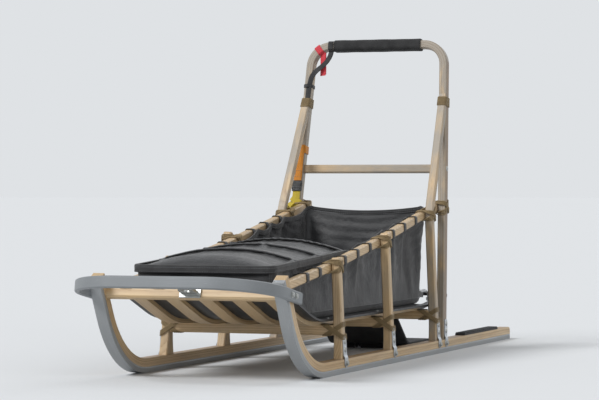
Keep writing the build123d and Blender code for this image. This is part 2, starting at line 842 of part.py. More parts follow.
# Drag mat: a ribbed rubber sheet that hangs from the rod and lies on the snow
drop = radians(mat_slope)
mat_top = mat_lug_height + mat_thickness
mat_centre_z = mat_top + mat_bend
mat_reach = rod_radius + sleeve_wall - mat_bar_bite + mat_bar_thickness
mat_bend_y = hinge_y + mat_bend * sin(drop) + (
    (hinge_z - mat_centre_z + mat_bend * cos(drop)) * cos(drop) - mat_reach
) / sin(drop)
bend_end_y, bend_end_z = turned_point(mat_bend_y, mat_centre_z, drop, mat_top, 0)
mat_run = (hinge_y - bend_end_y) * -cos(drop) + (hinge_z - bend_end_z) * sin(drop)
mat_tail_y = hinge_y + mat_tail
lug_pitch = (mat_tail_y - mat_bend_y - 2 * mat_lug_margin - mat_lug_length) / (mat_lug_count - 1)
with BuildPart() as drag_mat:
    with BuildSketch(Plane.YZ):
        add(turned_strip(mat_tail_y, mat_bend_y, mat_centre_z, drop,
                         mat_lug_height, mat_top, mat_run))
    extrude(amount=mat_width / 2, both=True)
    # Rows of tapered lugs under the mat, and windows through it between the rows
    lug_plane = Plane(
        origin=(0, (mat_tail_y + mat_bend_y) / 2, mat_lug_height),
        x_dir=(1, 0, 0),
        z_dir=(0, 0, -1),
    )
    side_lug, middle_lug, other_lug = mat_lug_widths
    lug_columns = (
        (-(mat_width - side_lug) / 2, side_lug),
        (0, middle_lug),
        ((mat_width - other_lug) / 2, other_lug),
    )
    for lug_x, lug_width in lug_columns:
        with BuildSketch(lug_plane):
            with Locations((lug_x, 0)):
                with GridLocations(1, lug_pitch, 1, mat_lug_count):
                    Rectangle(lug_width, mat_lug_length)
        extrude(amount=mat_lug_height, taper=mat_lug_taper)
    window_x = (mat_width / 2 - side_lug + middle_lug / 2) / 2
    with BuildSketch(lug_plane):
        with GridLocations(2 * window_x, lug_pitch, 2, mat_lug_count - 1):
            Rectangle(mat_window_width, mat_window_length)
    extrude(amount=-mat_thickness, mode=Mode.SUBTRACT)
write(drag_mat, "drag_mat")

# Steel bar and sleeves that clamp the mat to the rod
with BuildPart() as mat_bar:
    with BuildSketch(Plane.YZ):
        with BuildLine():
            Polyline(
                turned_point(mat_bend_y, mat_centre_z, drop, mat_top, mat_run),
                turned_point(mat_bend_y, mat_centre_z, drop, mat_top, mat_run - mat_bar_length),
                turned_point(mat_bend_y, mat_centre_z, drop, mat_top + mat_bar_thickness,
                             mat_run - mat_bar_length),
                turned_point(mat_bend_y, mat_centre_z, drop, mat_top + mat_bar_thickness, mat_run),
                close=True,
            )
        make_face()
    extrude(amount=mat_width / 2 - mat_bar_thickness, both=True)
    for side in (1, -1):
        with BuildSketch(Plane.YZ.offset(side * mat_sleeve_x)):
            with Locations((hinge_y, hinge_z)):
                Circle(rod_radius + sleeve_wall)
        extrude(amount=mat_sleeve_length / 2, both=True)
    with BuildSketch(Plane.YZ):
        with Locations((hinge_y, hinge_z)):
            Circle(bore_radius)
    extrude(amount=mat_width, both=True, mode=Mode.SUBTRACT)
write(mat_bar, "mat_bar")

# Steel tow eye on the front of the nose bar, a tongue with its hole upright
eye_middle = -nose_bar_size / 2 - eye_reach
with BuildPart(nose_plane) as tow_eye:
    with Locations((0, -nose_bar_size / 2, 0)):
        Box(
            eye_base_width,
            eye_base_thickness,
            nose_bar_size,
            align=(Align.CENTER, Align.MAX, Align.CENTER),
        )
        Box(
            2 * eye_radius,
            eye_reach,
            eye_plate,
            align=(Align.CENTER, Align.MAX, Align.CENTER),
        )
    with Locations((0, eye_middle, 0)):
        Cylinder(eye_radius, eye_plate)
        Cylinder(eye_hole, eye_plate, mode=Mode.SUBTRACT)
write(tow_eye, "tow_eye")
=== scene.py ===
"""Dress the packed dog sled in ash, plastic, sewn fabric, webbing, lashings and steel on the fixed frame."""

from functools import partial
from math import cos, exp, pi, radians, sin, tan

import bmesh
import bpy
import numpy as np
from bpy.props import FloatProperty, FloatVectorProperty, IntProperty, PointerProperty
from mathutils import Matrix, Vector, noise


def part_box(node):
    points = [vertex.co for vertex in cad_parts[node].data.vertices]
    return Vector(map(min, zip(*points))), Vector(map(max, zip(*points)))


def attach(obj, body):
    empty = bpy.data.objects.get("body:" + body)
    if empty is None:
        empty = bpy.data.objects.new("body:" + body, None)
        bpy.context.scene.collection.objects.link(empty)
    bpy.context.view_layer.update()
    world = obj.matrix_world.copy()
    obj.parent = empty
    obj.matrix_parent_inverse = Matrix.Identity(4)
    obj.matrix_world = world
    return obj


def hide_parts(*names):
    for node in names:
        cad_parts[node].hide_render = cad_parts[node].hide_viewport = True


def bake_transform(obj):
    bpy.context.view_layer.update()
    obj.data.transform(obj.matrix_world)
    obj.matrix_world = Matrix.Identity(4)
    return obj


bl_info = {
    "name": "Dog sled dressing",
    "version": (1, 0, 0),
    "blender": (4, 5, 0),
    "location": "3D View > Sidebar > Sled",
    "description": "Finishes and sewn, lashed and bolted pieces for an ash dog sled",
    "category": "Object",
}

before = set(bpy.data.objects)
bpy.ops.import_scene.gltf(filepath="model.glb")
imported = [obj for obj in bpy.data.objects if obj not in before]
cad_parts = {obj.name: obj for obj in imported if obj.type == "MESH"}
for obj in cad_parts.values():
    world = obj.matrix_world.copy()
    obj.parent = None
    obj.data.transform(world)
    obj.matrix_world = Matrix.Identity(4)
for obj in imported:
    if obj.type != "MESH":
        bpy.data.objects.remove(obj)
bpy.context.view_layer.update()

MM = 0.001
SIDES = (1, -1)
BOTH = ((1, "left"), (-1, "right"))
ACROSS, BACK, UP = np.eye(3)

# Angles of the sled's frame
TOE_ANGLE = radians(62)
BED_SLOPE = radians(20)
BOW_LEAN = radians(10)
FLARE = radians(2.5)
BRUSH_PITCH = radians(10)
BRACE_TURN = radians(28)
RAIL_CLIMB = radians(8)
MAT_SLOPE = radians(38)

# Sizes of the sled's frame
TOE_RADIUS = 300 * MM
TOE_STRAIGHT = 120 * MM
BED_RADIUS = 400 * MM
BED_ON_BAR = 31 * MM           # top of the bed sheet from the middle of the nose bar
BRACE_RADIUS = 180 * MM
BRACE_KINK = 45 * MM           # below the side rail's highest point
BOW_DEPTH = 30 * MM
BOW_THICKNESS = 25 * MM
BOW_CORNER = 80 * MM
BOW_BAR_LEVEL = 535 * MM       # cross piece, up the bow
RAIL_END = 405 * MM            # side rail's end above the runners
BAG_CORNER = 26 * MM           # in plan
GRIP_WALL = 6 * MM
PAD_RIBS = 16
EAR_BASE_X = 176.5 * MM
CLAW_X = 100 * MM
MAT_BOLT_REACH = 24 * MM       # behind the hinge, along the mat
COLLAR_WALL = 4 * MM           # of the collars on the hinge rod
SPRING_END = 145.5 * MM        # outer end of a return spring, along the rod

# Places read from the frame
RUNNER_LOW, RUNNER_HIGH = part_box("runner_left")
BOW_LOW, BOW_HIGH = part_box("driving_bow")
BAG_LOW, BAG_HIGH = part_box("load_bag")
COVER_LOW, COVER_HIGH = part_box("bag_cover")
ROD_LOW, ROD_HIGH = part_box("hinge_rod")
RUNNER_X = (RUNNER_LOW.x + RUNNER_HIGH.x) / 2
RUNNER_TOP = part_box("foot_pad_left")[0].z
SHOE_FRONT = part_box("runner_shoe_left")[0].y
GRIP_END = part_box("hand_grip")[1].x
TOE_Y = SHOE_FRONT + TOE_RADIUS * sin(TOE_ANGLE) + TOE_STRAIGHT * cos(TOE_ANGLE)
HINGE = np.array((0.0, (ROD_LOW.y + ROD_HIGH.y) / 2, (ROD_LOW.z + ROD_HIGH.z) / 2))

# The driving bow's own directions, and its legs
BOW_UP = np.array((0.0, sin(BOW_LEAN), cos(BOW_LEAN)))
BOW_FRONT = np.array((0.0, -cos(BOW_LEAN), sin(BOW_LEAN)))
BOW_FOOT_Y = BOW_LOW.y + BOW_DEPTH / 2 / cos(BOW_LEAN)
BOW_TAPER = cos(BOW_LEAN) * tan(FLARE)
BOW_TOP = (BOW_HIGH.z - RUNNER_TOP - BOW_DEPTH / 2 * sin(BOW_LEAN)) / cos(BOW_LEAN)
LEG_FRONT = BOW_DEPTH / 2 + 0.6 * MM

# The bag's cloth, and where its hangers hold it
CLOTH = 1.6 * MM               # thickness
HANGER_Y = (-0.70, -0.60, -0.39, -0.28, -0.17, 0.05, 0.16, 0.27)

# Thread, webbing, cord and screws
THREAD = 0.5 * MM              # radius of a stitch, drawn thick enough to show
HEM_THREAD = 0.55 * MM
SNUG = 0.4 * MM                # gap under taut webbing
CORD_SNUG = 0.1 * MM           # gap under a lashing
CORD_PITCH = 1.02              # from turn to turn of a lashing, in cord diameters
BRACE_LASHING = 735 * MM       # lowest turn, up the bow
BRACE_LASHING_TURNS = 9
BED_SCREW_X = 222 * MM


def middle(name):
    """Middle of a node's box."""
    low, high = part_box(name)
    return np.array((low + high) / 2)


def pair(stem):
    """Names of a left node and its right twin."""
    return f"{stem}_left", f"{stem}_right"


BAR_HEIGHT = middle("crossbar_rear")[2]
UPRIGHT_Y = {
    "front": middle("upright_front_left")[1],
    "middle": middle("upright_middle_left")[1],
    "rear": middle("crossbar_rear")[1],
}


def linear(hex_colour):
    """An sRGB hex colour as linear red, green, blue and alpha."""
    channels = [int(hex_colour[place:place + 2], 16) / 255 for place in (0, 2, 4)]
    return tuple(c / 12.92 if c <= 0.04045 else ((c + 0.055) / 1.055) ** 2.4 for c in channels) + (1.0,)


def shaded(base, gain, lift=0.0):
    """A linear colour made darker or paler."""
    return tuple(min(1.0, channel * gain + lift) for channel in base[:3]) + (1.0,)


def colour(name, description, hex_colour):
    """A colour that a user may change."""
    return FloatVectorProperty(
        name=name, description=description, subtype="COLOR", size=4, min=0, max=1,
        default=linear(hex_colour),
    )


def length(name, description, millimetres):
    """A length that a user may change, given in millimetres."""
    return FloatProperty(
        name=name, description=description, default=millimetres * MM, min=0, unit="LENGTH", precision=4,
    )


class SledWood(bpy.types.PropertyGroup):
    """Colours and grain of the oiled ash."""

    pale: colour("Pale wood", "Dense latewood between the rings", "D2B68A")
    dark: colour("Ring wood", "Open earlywood of each ring", "A37C4E")
    # A little darker than weathered ash under even light: partly painted shading
    grey: colour("Weathered wood", "Wood greyed by sun and meltwater", "978E81")
    glue: colour("Glue line", "Line between two laminations", "6E4E2E")
    ring: length("Ring spacing", "Width of a year's growth", 4.5)
    ply: length("Lamination", "Thickness of one lamination of the bent pieces", 8)
    edge: length("Eased edge", "Rounding of the edges of wooden pieces", 1.2)


class SledPlastic(bpy.types.PropertyGroup):
    """Colours of the plastic and rubber pieces."""

    shoe: colour("Shoe", "Grey polyethylene under the runners", "8C8F91")
    brush_bow: colour("Brush bow", "Grey polyethylene strip round the nose", "777B7E")
    bed: colour("Bed sheet", "Black polyethylene sheet", "17181A")
    rubber: colour("Rubber", "Foot pads and drag mat", "1D1D1E")
    foam: colour("Grip foam", "Closed-cell foam sleeve", "151516")
    buckle: colour("Buckle", "Moulded acetal buckle", "121213")


class SledMetal(bpy.types.PropertyGroup):
    """Colours and sizes of the metal pieces."""

    zinc: colour("Zinc plate", "Plated steel", "A9ABA8")
    bare: colour("Bare steel", "Steel worn bright by the snow", "B4B6B7")
    rust: colour("Rust", "Light rust in the corners", "6B4027")
    coating: colour("Powder coat", "Black coating of the brake's bar", "1B1C1E")
    aluminium: colour("Aluminium", "Anodised rail of the runner", "BCC0C4")
    spring: colour("Spring steel", "Oiled wire of the return springs", "4A4C50")
    spring_edge: colour("Rubbed spring", "Spring wire rubbed bright", "8A8C90")
    bolt_radius: length("Bolt head", "Radius of a hexagon head across its corners", 6.5)
    washer_radius: length("Washer", "Radius of a washer", 8.5)
    screw_radius: length("Screw head", "Radius of a pan head", 4.6)
    wire: length("Spring wire", "Diameter of the return springs' wire", 2.6)


class SledFabric(bpy.types.PropertyGroup):
    """Colours and sizes of the bag and the webbing."""

    bag: colour("Bag", "Coated nylon of the load bag", "1C1D20")
    thread: colour("Thread", "Polyester thread of the seams", "6A6C70")
    amber: colour("Amber webbing", "Upper strap on the right leg", "D98A1C")
    yellow: colour("Yellow webbing", "Lower strap on the right leg", "CDB428")
    red: colour("Red webbing", "Tab under the handlebar", "D8303F")
    black: colour("Black webbing", "Bindings, bag hangers and the strap under the handlebar", "1A1A1C")
    weave: length("Weave", "Pitch of the fabric's yarns, drawn coarse enough to show", 2.4)
    rib: length("Webbing rib", "Pitch of the webbing's ribs, drawn coarse enough to show", 2.6)
    strap_width: length("Strap width", "Webbing on the leg", 25)
    strap_thickness: length("Strap thickness", "Thickness of the webbing", 2.2)
    panel_spacing: length("Panel grid", "Spacing of the bag's mesh", 10)
    sag_limit: length("Sag limit", "Most that a point of the bag may move as it sags", 11)
    hem: length("Hem", "Height of the binding on each side of the rim", 13)
    stitch: length("Stitch", "Pitch of the stitches, drawn coarse enough to show", 7)


class SledCord(bpy.types.PropertyGroup):
    """Sizes and colour of the lashings."""

    fibre: colour("Lashing", "Waxed nylon cord", "A08A63")
    # Painted shadow in the grooves between the strands, and also the tint of the dirt patches
    groove_shade_and_dirt: colour("Lashing shade", "Wax and dirt between the strands", "574831")
    diameter: length("Cord diameter", "Diameter of the lashing cord", 3.2)
    turns: IntProperty(name="Turns", description="Turns each way in a rail lashing", default=4, min=1)


class SledStage(bpy.types.PropertyGroup):
    """Camera, floor and light."""

    floor: colour("Floor", "Pale floor", "DDE0E3")
    backdrop: colour("Backdrop", "Colour behind the sled, as the lit floor", "DFE2E5")
    camera_turn: FloatProperty(
        name="Camera azimuth", description="Turn of the camera round the sled", subtype="ANGLE",
        default=radians(20),
    )
    camera_distance: length("Camera distance", "Camera to the middle of the sled", 7500)
    camera_height: length("Camera height", "Height of the lens above the floor", 520)
    aim_height: length("Aim height", "Height of the point that the camera looks at", 472)
    lens: FloatProperty(
        name="Focal length", description="Long lens, as in the photograph", subtype="DISTANCE_CAMERA",
        default=152,
    )
    key: FloatProperty(name="Key light", description="Strength of the sun from the front", default=2.3)
    fill: FloatProperty(name="Fill light", description="Strength of the other two suns", default=0.5)
    sky: FloatProperty(name="Ambient light", description="Strength of the light from all round", default=0.4)


SETTINGS = {
    "sled_wood": SledWood,
    "sled_plastic": SledPlastic,
    "sled_metal": SledMetal,
    "sled_fabric": SledFabric,
    "sled_cord": SledCord,
    "sled_stage": SledStage,
}


# Geometry


def unit(vector):
    """The same direction, one metre long."""
    vector = np.asarray(vector, float)
    return vector / np.linalg.norm(vector)


def units(vectors):
    """Rows of directions, each one metre long."""
    return vectors / np.maximum(np.linalg.norm(vectors, axis=1, keepdims=True), 1e-12)


def sideways(axis):
    """A direction square to an axis."""
    return unit(np.cross(axis, UP if abs(axis[2]) < 0.9 else BACK))


def circle(radius, steps):
    """Points of a circle, counter-clockwise."""
    turns = np.linspace(0, 2 * pi, steps, endpoint=False)
    return radius * np.stack([np.cos(turns), np.sin(turns)], axis=1)


def rounded_box(width, height, radius, steps=3):
    """Rounded rectangle, counter-clockwise, with arcs of a few steps at its corners."""
    points = []
    for quarter, (x, y) in enumerate(((1, 1), (-1, 1), (-1, -1), (1, -1))):
        for step in range(steps + 1):
            turn = (quarter + step / steps) * pi / 2
            points.append((
                x * (width / 2 - radius) + radius * cos(turn),
                y * (height / 2 - radius) + radius * sin(turn),
            ))
    return np.array(points)


def distances(path, closed=False):
    """Distance along a path at each of its points, and its whole length."""
    ahead = np.roll(path, -1, axis=0) - path if closed else np.diff(path, axis=0)
    along = np.concatenate([[0.0], np.cumsum(np.linalg.norm(ahead, axis=1))])
    return (along[:-1], along[-1]) if closed else (along, along[-1])


def evenly(path, spacing, closed=False):
    """The same path with its points a set distance apart."""
    path = np.asarray(path, float)
    whole = np.vstack([path, path[:1]]) if closed else path
    along, total = distances(whole)
    count = max(2, int(round(total / spacing)))
    places = np.linspace(0, total, count + 1)
    if closed:
        places = places[:-1]
    return np.stack([np.interp(places, along, whole[:, axis]) for axis in range(3)], axis=1)


def curve_through(points, spacing):
    """Smooth curve near a few points: the corners are cut three times and the result is evened."""
    path = np.asarray(points, float)
    for _ in range(3):
        first = 0.75 * path[:-1] + 0.25 * path[1:]
        second = 0.25 * path[:-1] + 0.75 * path[1:]
        cut = np.stack([first, second], axis=1).reshape(-1, 3)
        path = np.vstack([path[:1], cut, path[-1:]])
    return evenly(path, spacing)


def tangents(path, closed=False):
    """Direction of a path at each of its points."""
    if closed:
        ahead = units(np.roll(path, -1, axis=0) - path)
        behind = units(path - np.roll(path, 1, axis=0))
        return units(ahead + behind)
    steps = units(np.diff(path, axis=0))
    return units(np.vstack([steps[:1], steps[:-1] + steps[1:], steps[-1:]]))


def ring_faces(rows, count, closed=False):
    """Faces between rings of points, which join the last ring to the first or cap both ends."""
    faces = []
    for row in range(rows if closed else rows - 1):
        low, high = row * count, (row + 1) % rows * count
        faces += [(low + step, low + (step + 1) % count, high + (step + 1) % count, high + step)
                  for step in range(count)]
    if not closed:
        faces += [tuple(range(count))[::-1], tuple(range((rows - 1) * count, rows * count))]
    return faces


def blank_uvs(faces):
    """UVs for faces whose material doesn't use them."""
    return [((0.0, 0.0),) * len(face) for face in faces]


def sweep(path, section, side, closed=False):
    """A section carried along a path, as points, faces and UVs in metres; side is its first axis."""
    path = np.asarray(path, float)
    section = np.asarray(section, float)
    along = tangents(path, closed)
    side = np.broadcast_to(np.asarray(side, float), path.shape)
    across = units(side - np.sum(side * along, axis=1, keepdims=True) * along)
    lift = np.cross(along, across)
    points = (
        path[:, None]
        + section[None, :, 0:1] * across[:, None]
        + section[None, :, 1:2] * lift[:, None]
    ).reshape(-1, 3)
    ring = len(section)
    run, total = distances(path, closed)
    girth = np.concatenate([[0.0], np.cumsum(np.linalg.norm(np.roll(section, -1, axis=0) - section, axis=1))])
    uvs = []
    for start, end in zip(run, [*run[1:], total] if closed else run[1:]):
        uvs += [((girth[step], start), (girth[step + 1], start), (girth[step + 1], end), (girth[step], end))
                for step in range(ring)]
    if not closed:
        uvs += [((0.0, 0.0),) * ring, ((0.0, total),) * ring]
    return points, ring_faces(len(path), ring, closed), uvs


def lathe(profile, centre, axis, steps):
    """A profile of (radius, height) pairs turned about an axis, closed at both ends."""
    axis = unit(axis)
    side = sideways(axis)
    up = np.cross(axis, side)
    rings = []
    for radius, height in profile:
        spots = circle(radius, steps)
        rings.append(np.asarray(centre) + spots[:, :1] * side + spots[:, 1:] * up + height * axis)
    faces = ring_faces(len(profile), steps)
    return np.concatenate(rings), faces, blank_uvs(faces)


def plate(outline, thickness, centre, side, up, bevel=0.0):
    """A flat outline given a thickness about its centre, with eased rims."""
    outline = np.asarray(outline, float)
    normal = np.cross(side, up)
    heart = outline.mean(axis=0)
    inner = heart + (outline - heart) * (1 - bevel / np.abs(outline - heart).max())
    layers = (
        (inner, -thickness / 2), (outline, -thickness / 2 + bevel),
        (outline, thickness / 2 - bevel), (inner, thickness / 2),
    )
    points = np.concatenate([
        np.asarray(centre) + layer[:, :1] * side + layer[:, 1:] * up + height * normal
        for layer, height in layers
    ])
    faces = ring_faces(len(layers), len(outline))
    return points, faces, blank_uvs(faces)


def stitches(path, offsets, spacing, radius, closed=False):
    """Rows of separate stitches beside a path: slim beads, each two thirds of the pitch long."""
    profile = [(radius * width, spacing * height)
               for width, height in ((0.2, -0.33), (1.0, -0.16), (1.0, 0.16), (0.2, 0.33))]
    beads = []
    for offset in offsets:
        row = evenly(path + offset, spacing, closed)
        beads += [lathe(profile, centre, along, 5) for centre, along in zip(row, tangents(row, closed))]
    return beads


def hull(points):
    """Convex outline of flat points, counter-clockwise."""
    ordered = sorted(map(tuple, points))
    sides = []
    for run in (ordered, ordered[::-1]):
        side = []
        for point in run:
            while len(side) > 1:
                (ax, ay), (bx, by) = side[-2], side[-1]
                if (bx - ax) * (point[1] - ay) - (by - ay) * (point[0] - ax) > 1e-12:
                    break
                side.pop()
            side.append(point)
        sides += side[:-1]
    return np.array(sides)


def plane_section(names, centre, normal, reach):
    """Points where the named nodes' surfaces cross a plane, near a centre."""
    found = []
    for name in names:
        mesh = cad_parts[name].data
        mesh.calc_loop_triangles()
        corners = np.array([vertex.co for vertex in mesh.vertices], float)
        triangles = np.array([triangle.vertices for triangle in mesh.loop_triangles])
        height = (corners - centre) @ normal
        for first, second in ((0, 1), (1, 2), (2, 0)):
            start, end = triangles[:, first], triangles[:, second]
            crossing = height[start] * height[end] < 0
            start, end = start[crossing], end[crossing]
            share = (height[start] / (height[start] - height[end]))[:, None]
            found.append(corners[start] + share * (corners[end] - corners[start]))
    points = np.concatenate(found)
    return points[np.linalg.norm(points - centre, axis=1) < reach]


def cross_section(name, y):
    """Points where an upright plane across the whole sled cuts a node's surface."""
    return plane_section([name], y * BACK, BACK, reach=2.0)


def around(names, centre, normal, lift, reach, extra):
    """A taut closed loop round the named nodes, in a plane, at a small distance from them."""
    centre = np.asarray(centre, float)
    normal = unit(normal)
    side = sideways(normal)
    up = np.cross(normal, side)
    points = np.vstack([plane_section(names, centre, normal, reach), *extra])
    if len(points) < 3:
        raise RuntimeError(f"nothing of {names} crosses the plane at {centre}")
    flat = np.stack([(points - centre) @ side, (points - centre) @ up], axis=1)
    grown = (flat[:, None] + circle(lift, 16)[None]).reshape(-1, 2)
    outline = hull(np.round(grown, 6))
    return centre + outline[:, :1] * side + outline[:, 1:] * up


def wrap(names, centre, axis, lift, section, reach=70 * MM, extra=()):
    """A section carried round the named nodes in a taut loop square to an axis."""
    return sweep(around(names, centre, axis, lift, reach, extra), section, axis, closed=True)


def strap(points, section, side, spacing=5 * MM):
    """A section carried along a smooth curve near a few points."""
    return sweep(curve_through(points, spacing), section, side)


def strap_section(width, thickness):
    """Section of a flat strap about its path, its width along the first axis."""
    return rounded_box(width, thickness, thickness * 0.45, 2)


def band_section(width, thickness):
    """Section of a flat strap that lies on the path."""
    return strap_section(width, thickness) + np.array((0.0, thickness / 2))


def surface_point(name, start, direction):
    """Where a ray first meets a node, and the way the surface faces there."""
    hit, place, normal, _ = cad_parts[name].ray_cast(Vector(start), Vector(direction))
    if not hit:
        raise RuntimeError(f"no surface of {name} from {start} along {direction}")
    return np.array(place), np.array(normal)


def build(name, parts, material, sharp=60, body="sled"):
    """Join parts into one piece that rides on a body."""
    points = np.concatenate([part[0] for part in parts])
    faces, uvs, start = [], [], 0
    for part_points, part_faces, part_uvs in parts:
        faces += [tuple(start + index for index in face) for face in part_faces]
        uvs += [corner for face in part_uvs for corner in face]
        start += len(part_points)
    mesh = bpy.data.meshes.new(name)
    mesh.from_pydata(points.tolist(), [], faces)
    layer = mesh.uv_layers.new(name="metres")
    layer.data.foreach_set("uv", np.array(uvs, np.float32).ravel())
    mesh.polygons.foreach_set("use_smooth", [True] * len(mesh.polygons))
    mesh.set_sharp_from_angle(angle=radians(sharp))
    mesh.materials.append(material)
    mesh.update()
    piece = bpy.data.objects.new(name, mesh)
    bpy.context.scene.collection.objects.link(piece)
    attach(piece, body)
    return piece


# Places on the driving bow


def bow_x(level):
    """Middle of a leg at a distance up the bow from its foot."""
    return RUNNER_X - level * BOW_TAPER


def bow_point(x, level, forward=0.0):
    """A place on the bow: sideways, up the bow and ahead of its middle plane."""
    return np.array((x, BOW_FOOT_Y, RUNNER_TOP)) + level * BOW_UP + forward * BOW_FRONT


def near(start, *steps):
    """Places near a start: millimetres sideways, up the bow and forward."""
    return [start + MM * (x * ACROSS + level * BOW_UP + forward * BOW_FRONT) for x, level, forward in steps]


def leg_point(z, forward=0.0):
    """A place on the right leg at a height above the ground, ahead of the bow's middle plane."""
    level = (z - RUNNER_TOP) / cos(BOW_LEAN)
    return bow_point(-bow_x(level), level, forward)


def on_leg(z, *steps):
    """Places ahead of the right leg: millimetres above a height, and forward of the leg's front."""
    return [leg_point(z + rise * MM, LEG_FRONT + forward * MM) for rise, forward in steps]


# Materials


def add_node(tree, kind, *values, **options):
    """Add a node: values go to its sockets in order, capitalised options to sockets by name, others to it."""
    node = tree.nodes.new(f"ShaderNode{kind}")
    for name, value in options.items():
        if name.islower():
            setattr(node, name, value)
    sockets = [socket for socket in node.inputs if socket.enabled]
    by_name = {socket.name.replace(" ", "_"): socket for socket in reversed(sockets)}
    filled = [*zip(sockets, values)]
    filled += [(by_name[name], value) for name, value in options.items() if not name.islower()]
    for socket, value in filled:
        if isinstance(value, bpy.types.Node):
            value = next(output for output in value.outputs if output.enabled)
        if isinstance(value, bpy.types.NodeSocket):
            tree.links.new(value, socket)
        else:
            socket.default_value = value
    return node


def new_material(name):
    """An empty material, and what adds nodes to it."""
    material = bpy.data.materials.new(name)
    material.use_nodes = True
    material.node_tree.nodes.clear()
    return material, partial(add_node, material.node_tree)


def close_material(add, base, roughness, height=None, depth=0.3 * MM, **fixed):
    """Join colour, roughness and relief to the surface; fixed values go to the shader's own sockets."""
    if height is not None:
        fixed["Normal"] = add("Bump", Height=height, Distance=depth, Strength=1.0)
    add("OutputMaterial", add("BsdfPrincipled", Base_Color=base, Roughness=roughness, **fixed))


def stretched_noise(add, point, size, stretch, detail, roughness=0.55):
    """Noise of a real size in metres, drawn out along the third axis."""
    scaled = add("VectorMath", point, (1.0, 1.0, 1.0 / stretch), operation="MULTIPLY")
    return add("TexNoise", scaled, 1.0 / size, detail, roughness)


def patches(add, point, size, stretch, detail, low, high):
    """Share of patches of a real size, from none at the noise's low mark to all at its high one."""
    return add("MapRange", stretched_noise(add, point, size, stretch, detail), low, high)


def tinted(add, base, tint, share, strength):
    """A colour drawn towards another by a share of a strength."""
    amount = add("Math", share, strength, operation="MULTIPLY")
    return add("Mix", amount, base, tint, data_type="RGBA")


def worn_edge(add, radius, scale):
    """Share of wear along edges, broken up by noise."""
    bent = add("VectorMath", add("Bevel", radius, samples=4), add("NewGeometry").outputs["Normal"],
               operation="DOT_PRODUCT")
    spots = add("TexNoise", add("TexCoord").outputs["Object"], scale, 4.0)
    return add("Math", add("MapRange", bent, 0.985, 0.86), add("MapRange", spots, 0.42, 0.62),
               operation="MULTIPLY")


def object_axes(add, order, tilt=0.0):
    """Place with the grain along the third axis: order names the axes, and tilt turns the grain about X."""
    place = add("VectorRotate", add("TexCoord").outputs["Object"], Angle=tilt, rotation_type="X_AXIS")
    parts = add("SeparateXYZ", place).outputs
    return add("CombineXYZ", *(parts[axis] for axis in order))


def bent_axes(add, side, run, rise, radius, turn):
    """Grain that follows one bend, as side, depth and distance along.

    The run is the flat distance past the start of the bend, and the rise goes to its inside.
    """
    down = add("Math", radius, rise, operation="SUBTRACT")
    angle = add("Clamp", add("Math", run, down, operation="ARCTAN2"), 0.0, turn)
    cosine = add("Math", angle, operation="COSINE")
    sine = add("Math", angle, operation="SINE")
    forward = add("Math", add("Math", run, cosine, operation="MULTIPLY"),
                  add("Math", down, sine, operation="MULTIPLY"), operation="SUBTRACT")
    inward = add("Math", add("Math", run, sine, operation="MULTIPLY"),
                 add("Math", down, cosine, operation="MULTIPLY"), operation="ADD")
    depth = add("Math", radius, inward, operation="SUBTRACT")
    along = add("Math", angle, radius, forward, operation="MULTIPLY_ADD")
    return add("CombineXYZ", side, depth, along)


def runner_axes(add):
    """Along the runner and up its turned toe."""
    x, y, z = add("SeparateXYZ", add("TexCoord").outputs["Object"]).outputs
    return bent_axes(add, x, add("Math", TOE_Y, y, operation="SUBTRACT"), z, TOE_RADIUS, TOE_ANGLE)


def bed_axes(add):
    """Along the bed and up its turned nose."""
    x, y, z = add("SeparateXYZ", add("TexCoord").outputs["Object"]).outputs
    nose = middle("crossbar_nose")
    front_y, front_z = nose[1] + BED_ON_BAR * sin(BED_SLOPE), nose[2] + BED_ON_BAR * cos(BED_SLOPE)
    straight = (front_z - BAG_LOW.z - BED_RADIUS * (1 - cos(BED_SLOPE))) / sin(BED_SLOPE)
    bend_y = front_y + BED_RADIUS * sin(BED_SLOPE) + straight * cos(BED_SLOPE)
    run = add("Math", bend_y, y, operation="SUBTRACT")
    rise = add("Math", z, BAG_LOW.z, operation="SUBTRACT")
    return bent_axes(add, x, run, rise, BED_RADIUS, BED_SLOPE)


def bow_axes(add):
    """Up a leg of the driving bow, round its corner and along its top."""
    place = add("TexCoord").outputs["Object"]
    moved = add("VectorMath", place, (0.0, BOW_FOOT_Y, RUNNER_TOP), operation="SUBTRACT")
    x, y, z = add("SeparateXYZ", add("VectorRotate", moved, Angle=BOW_LEAN, rotation_type="X_AXIS")).outputs
    leg = add("Math", z, -BOW_TAPER, RUNNER_X + BOW_THICKNESS / 2, operation="MULTIPLY_ADD")
    rise = add("Math", leg, add("Math", x, operation="ABSOLUTE"), operation="SUBTRACT")
    run = add("Math", z, BOW_TOP - BOW_CORNER, operation="SUBTRACT")
    return bent_axes(add, y, run, rise, BOW_CORNER, pi / 2)


def brace_axes(add):
    """Up a rear upright and back along its brace."""
    x, y, z = add("SeparateXYZ", add("TexCoord").outputs["Object"]).outputs
    run = add("Math", z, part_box("side_rail_left")[1].z - BRACE_KINK, operation="SUBTRACT")
    rise = add("Math", y, float(UPRIGHT_Y["rear"]), operation="SUBTRACT")
    return bent_axes(add, x, run, rise, BRACE_RADIUS, BRACE_TURN)


GRAIN_ACROSS = partial(object_axes, order="YZX")
GRAIN_ALONG = partial(object_axes, order="XZY")
GRAIN_UP = partial(object_axes, order="XYZ")


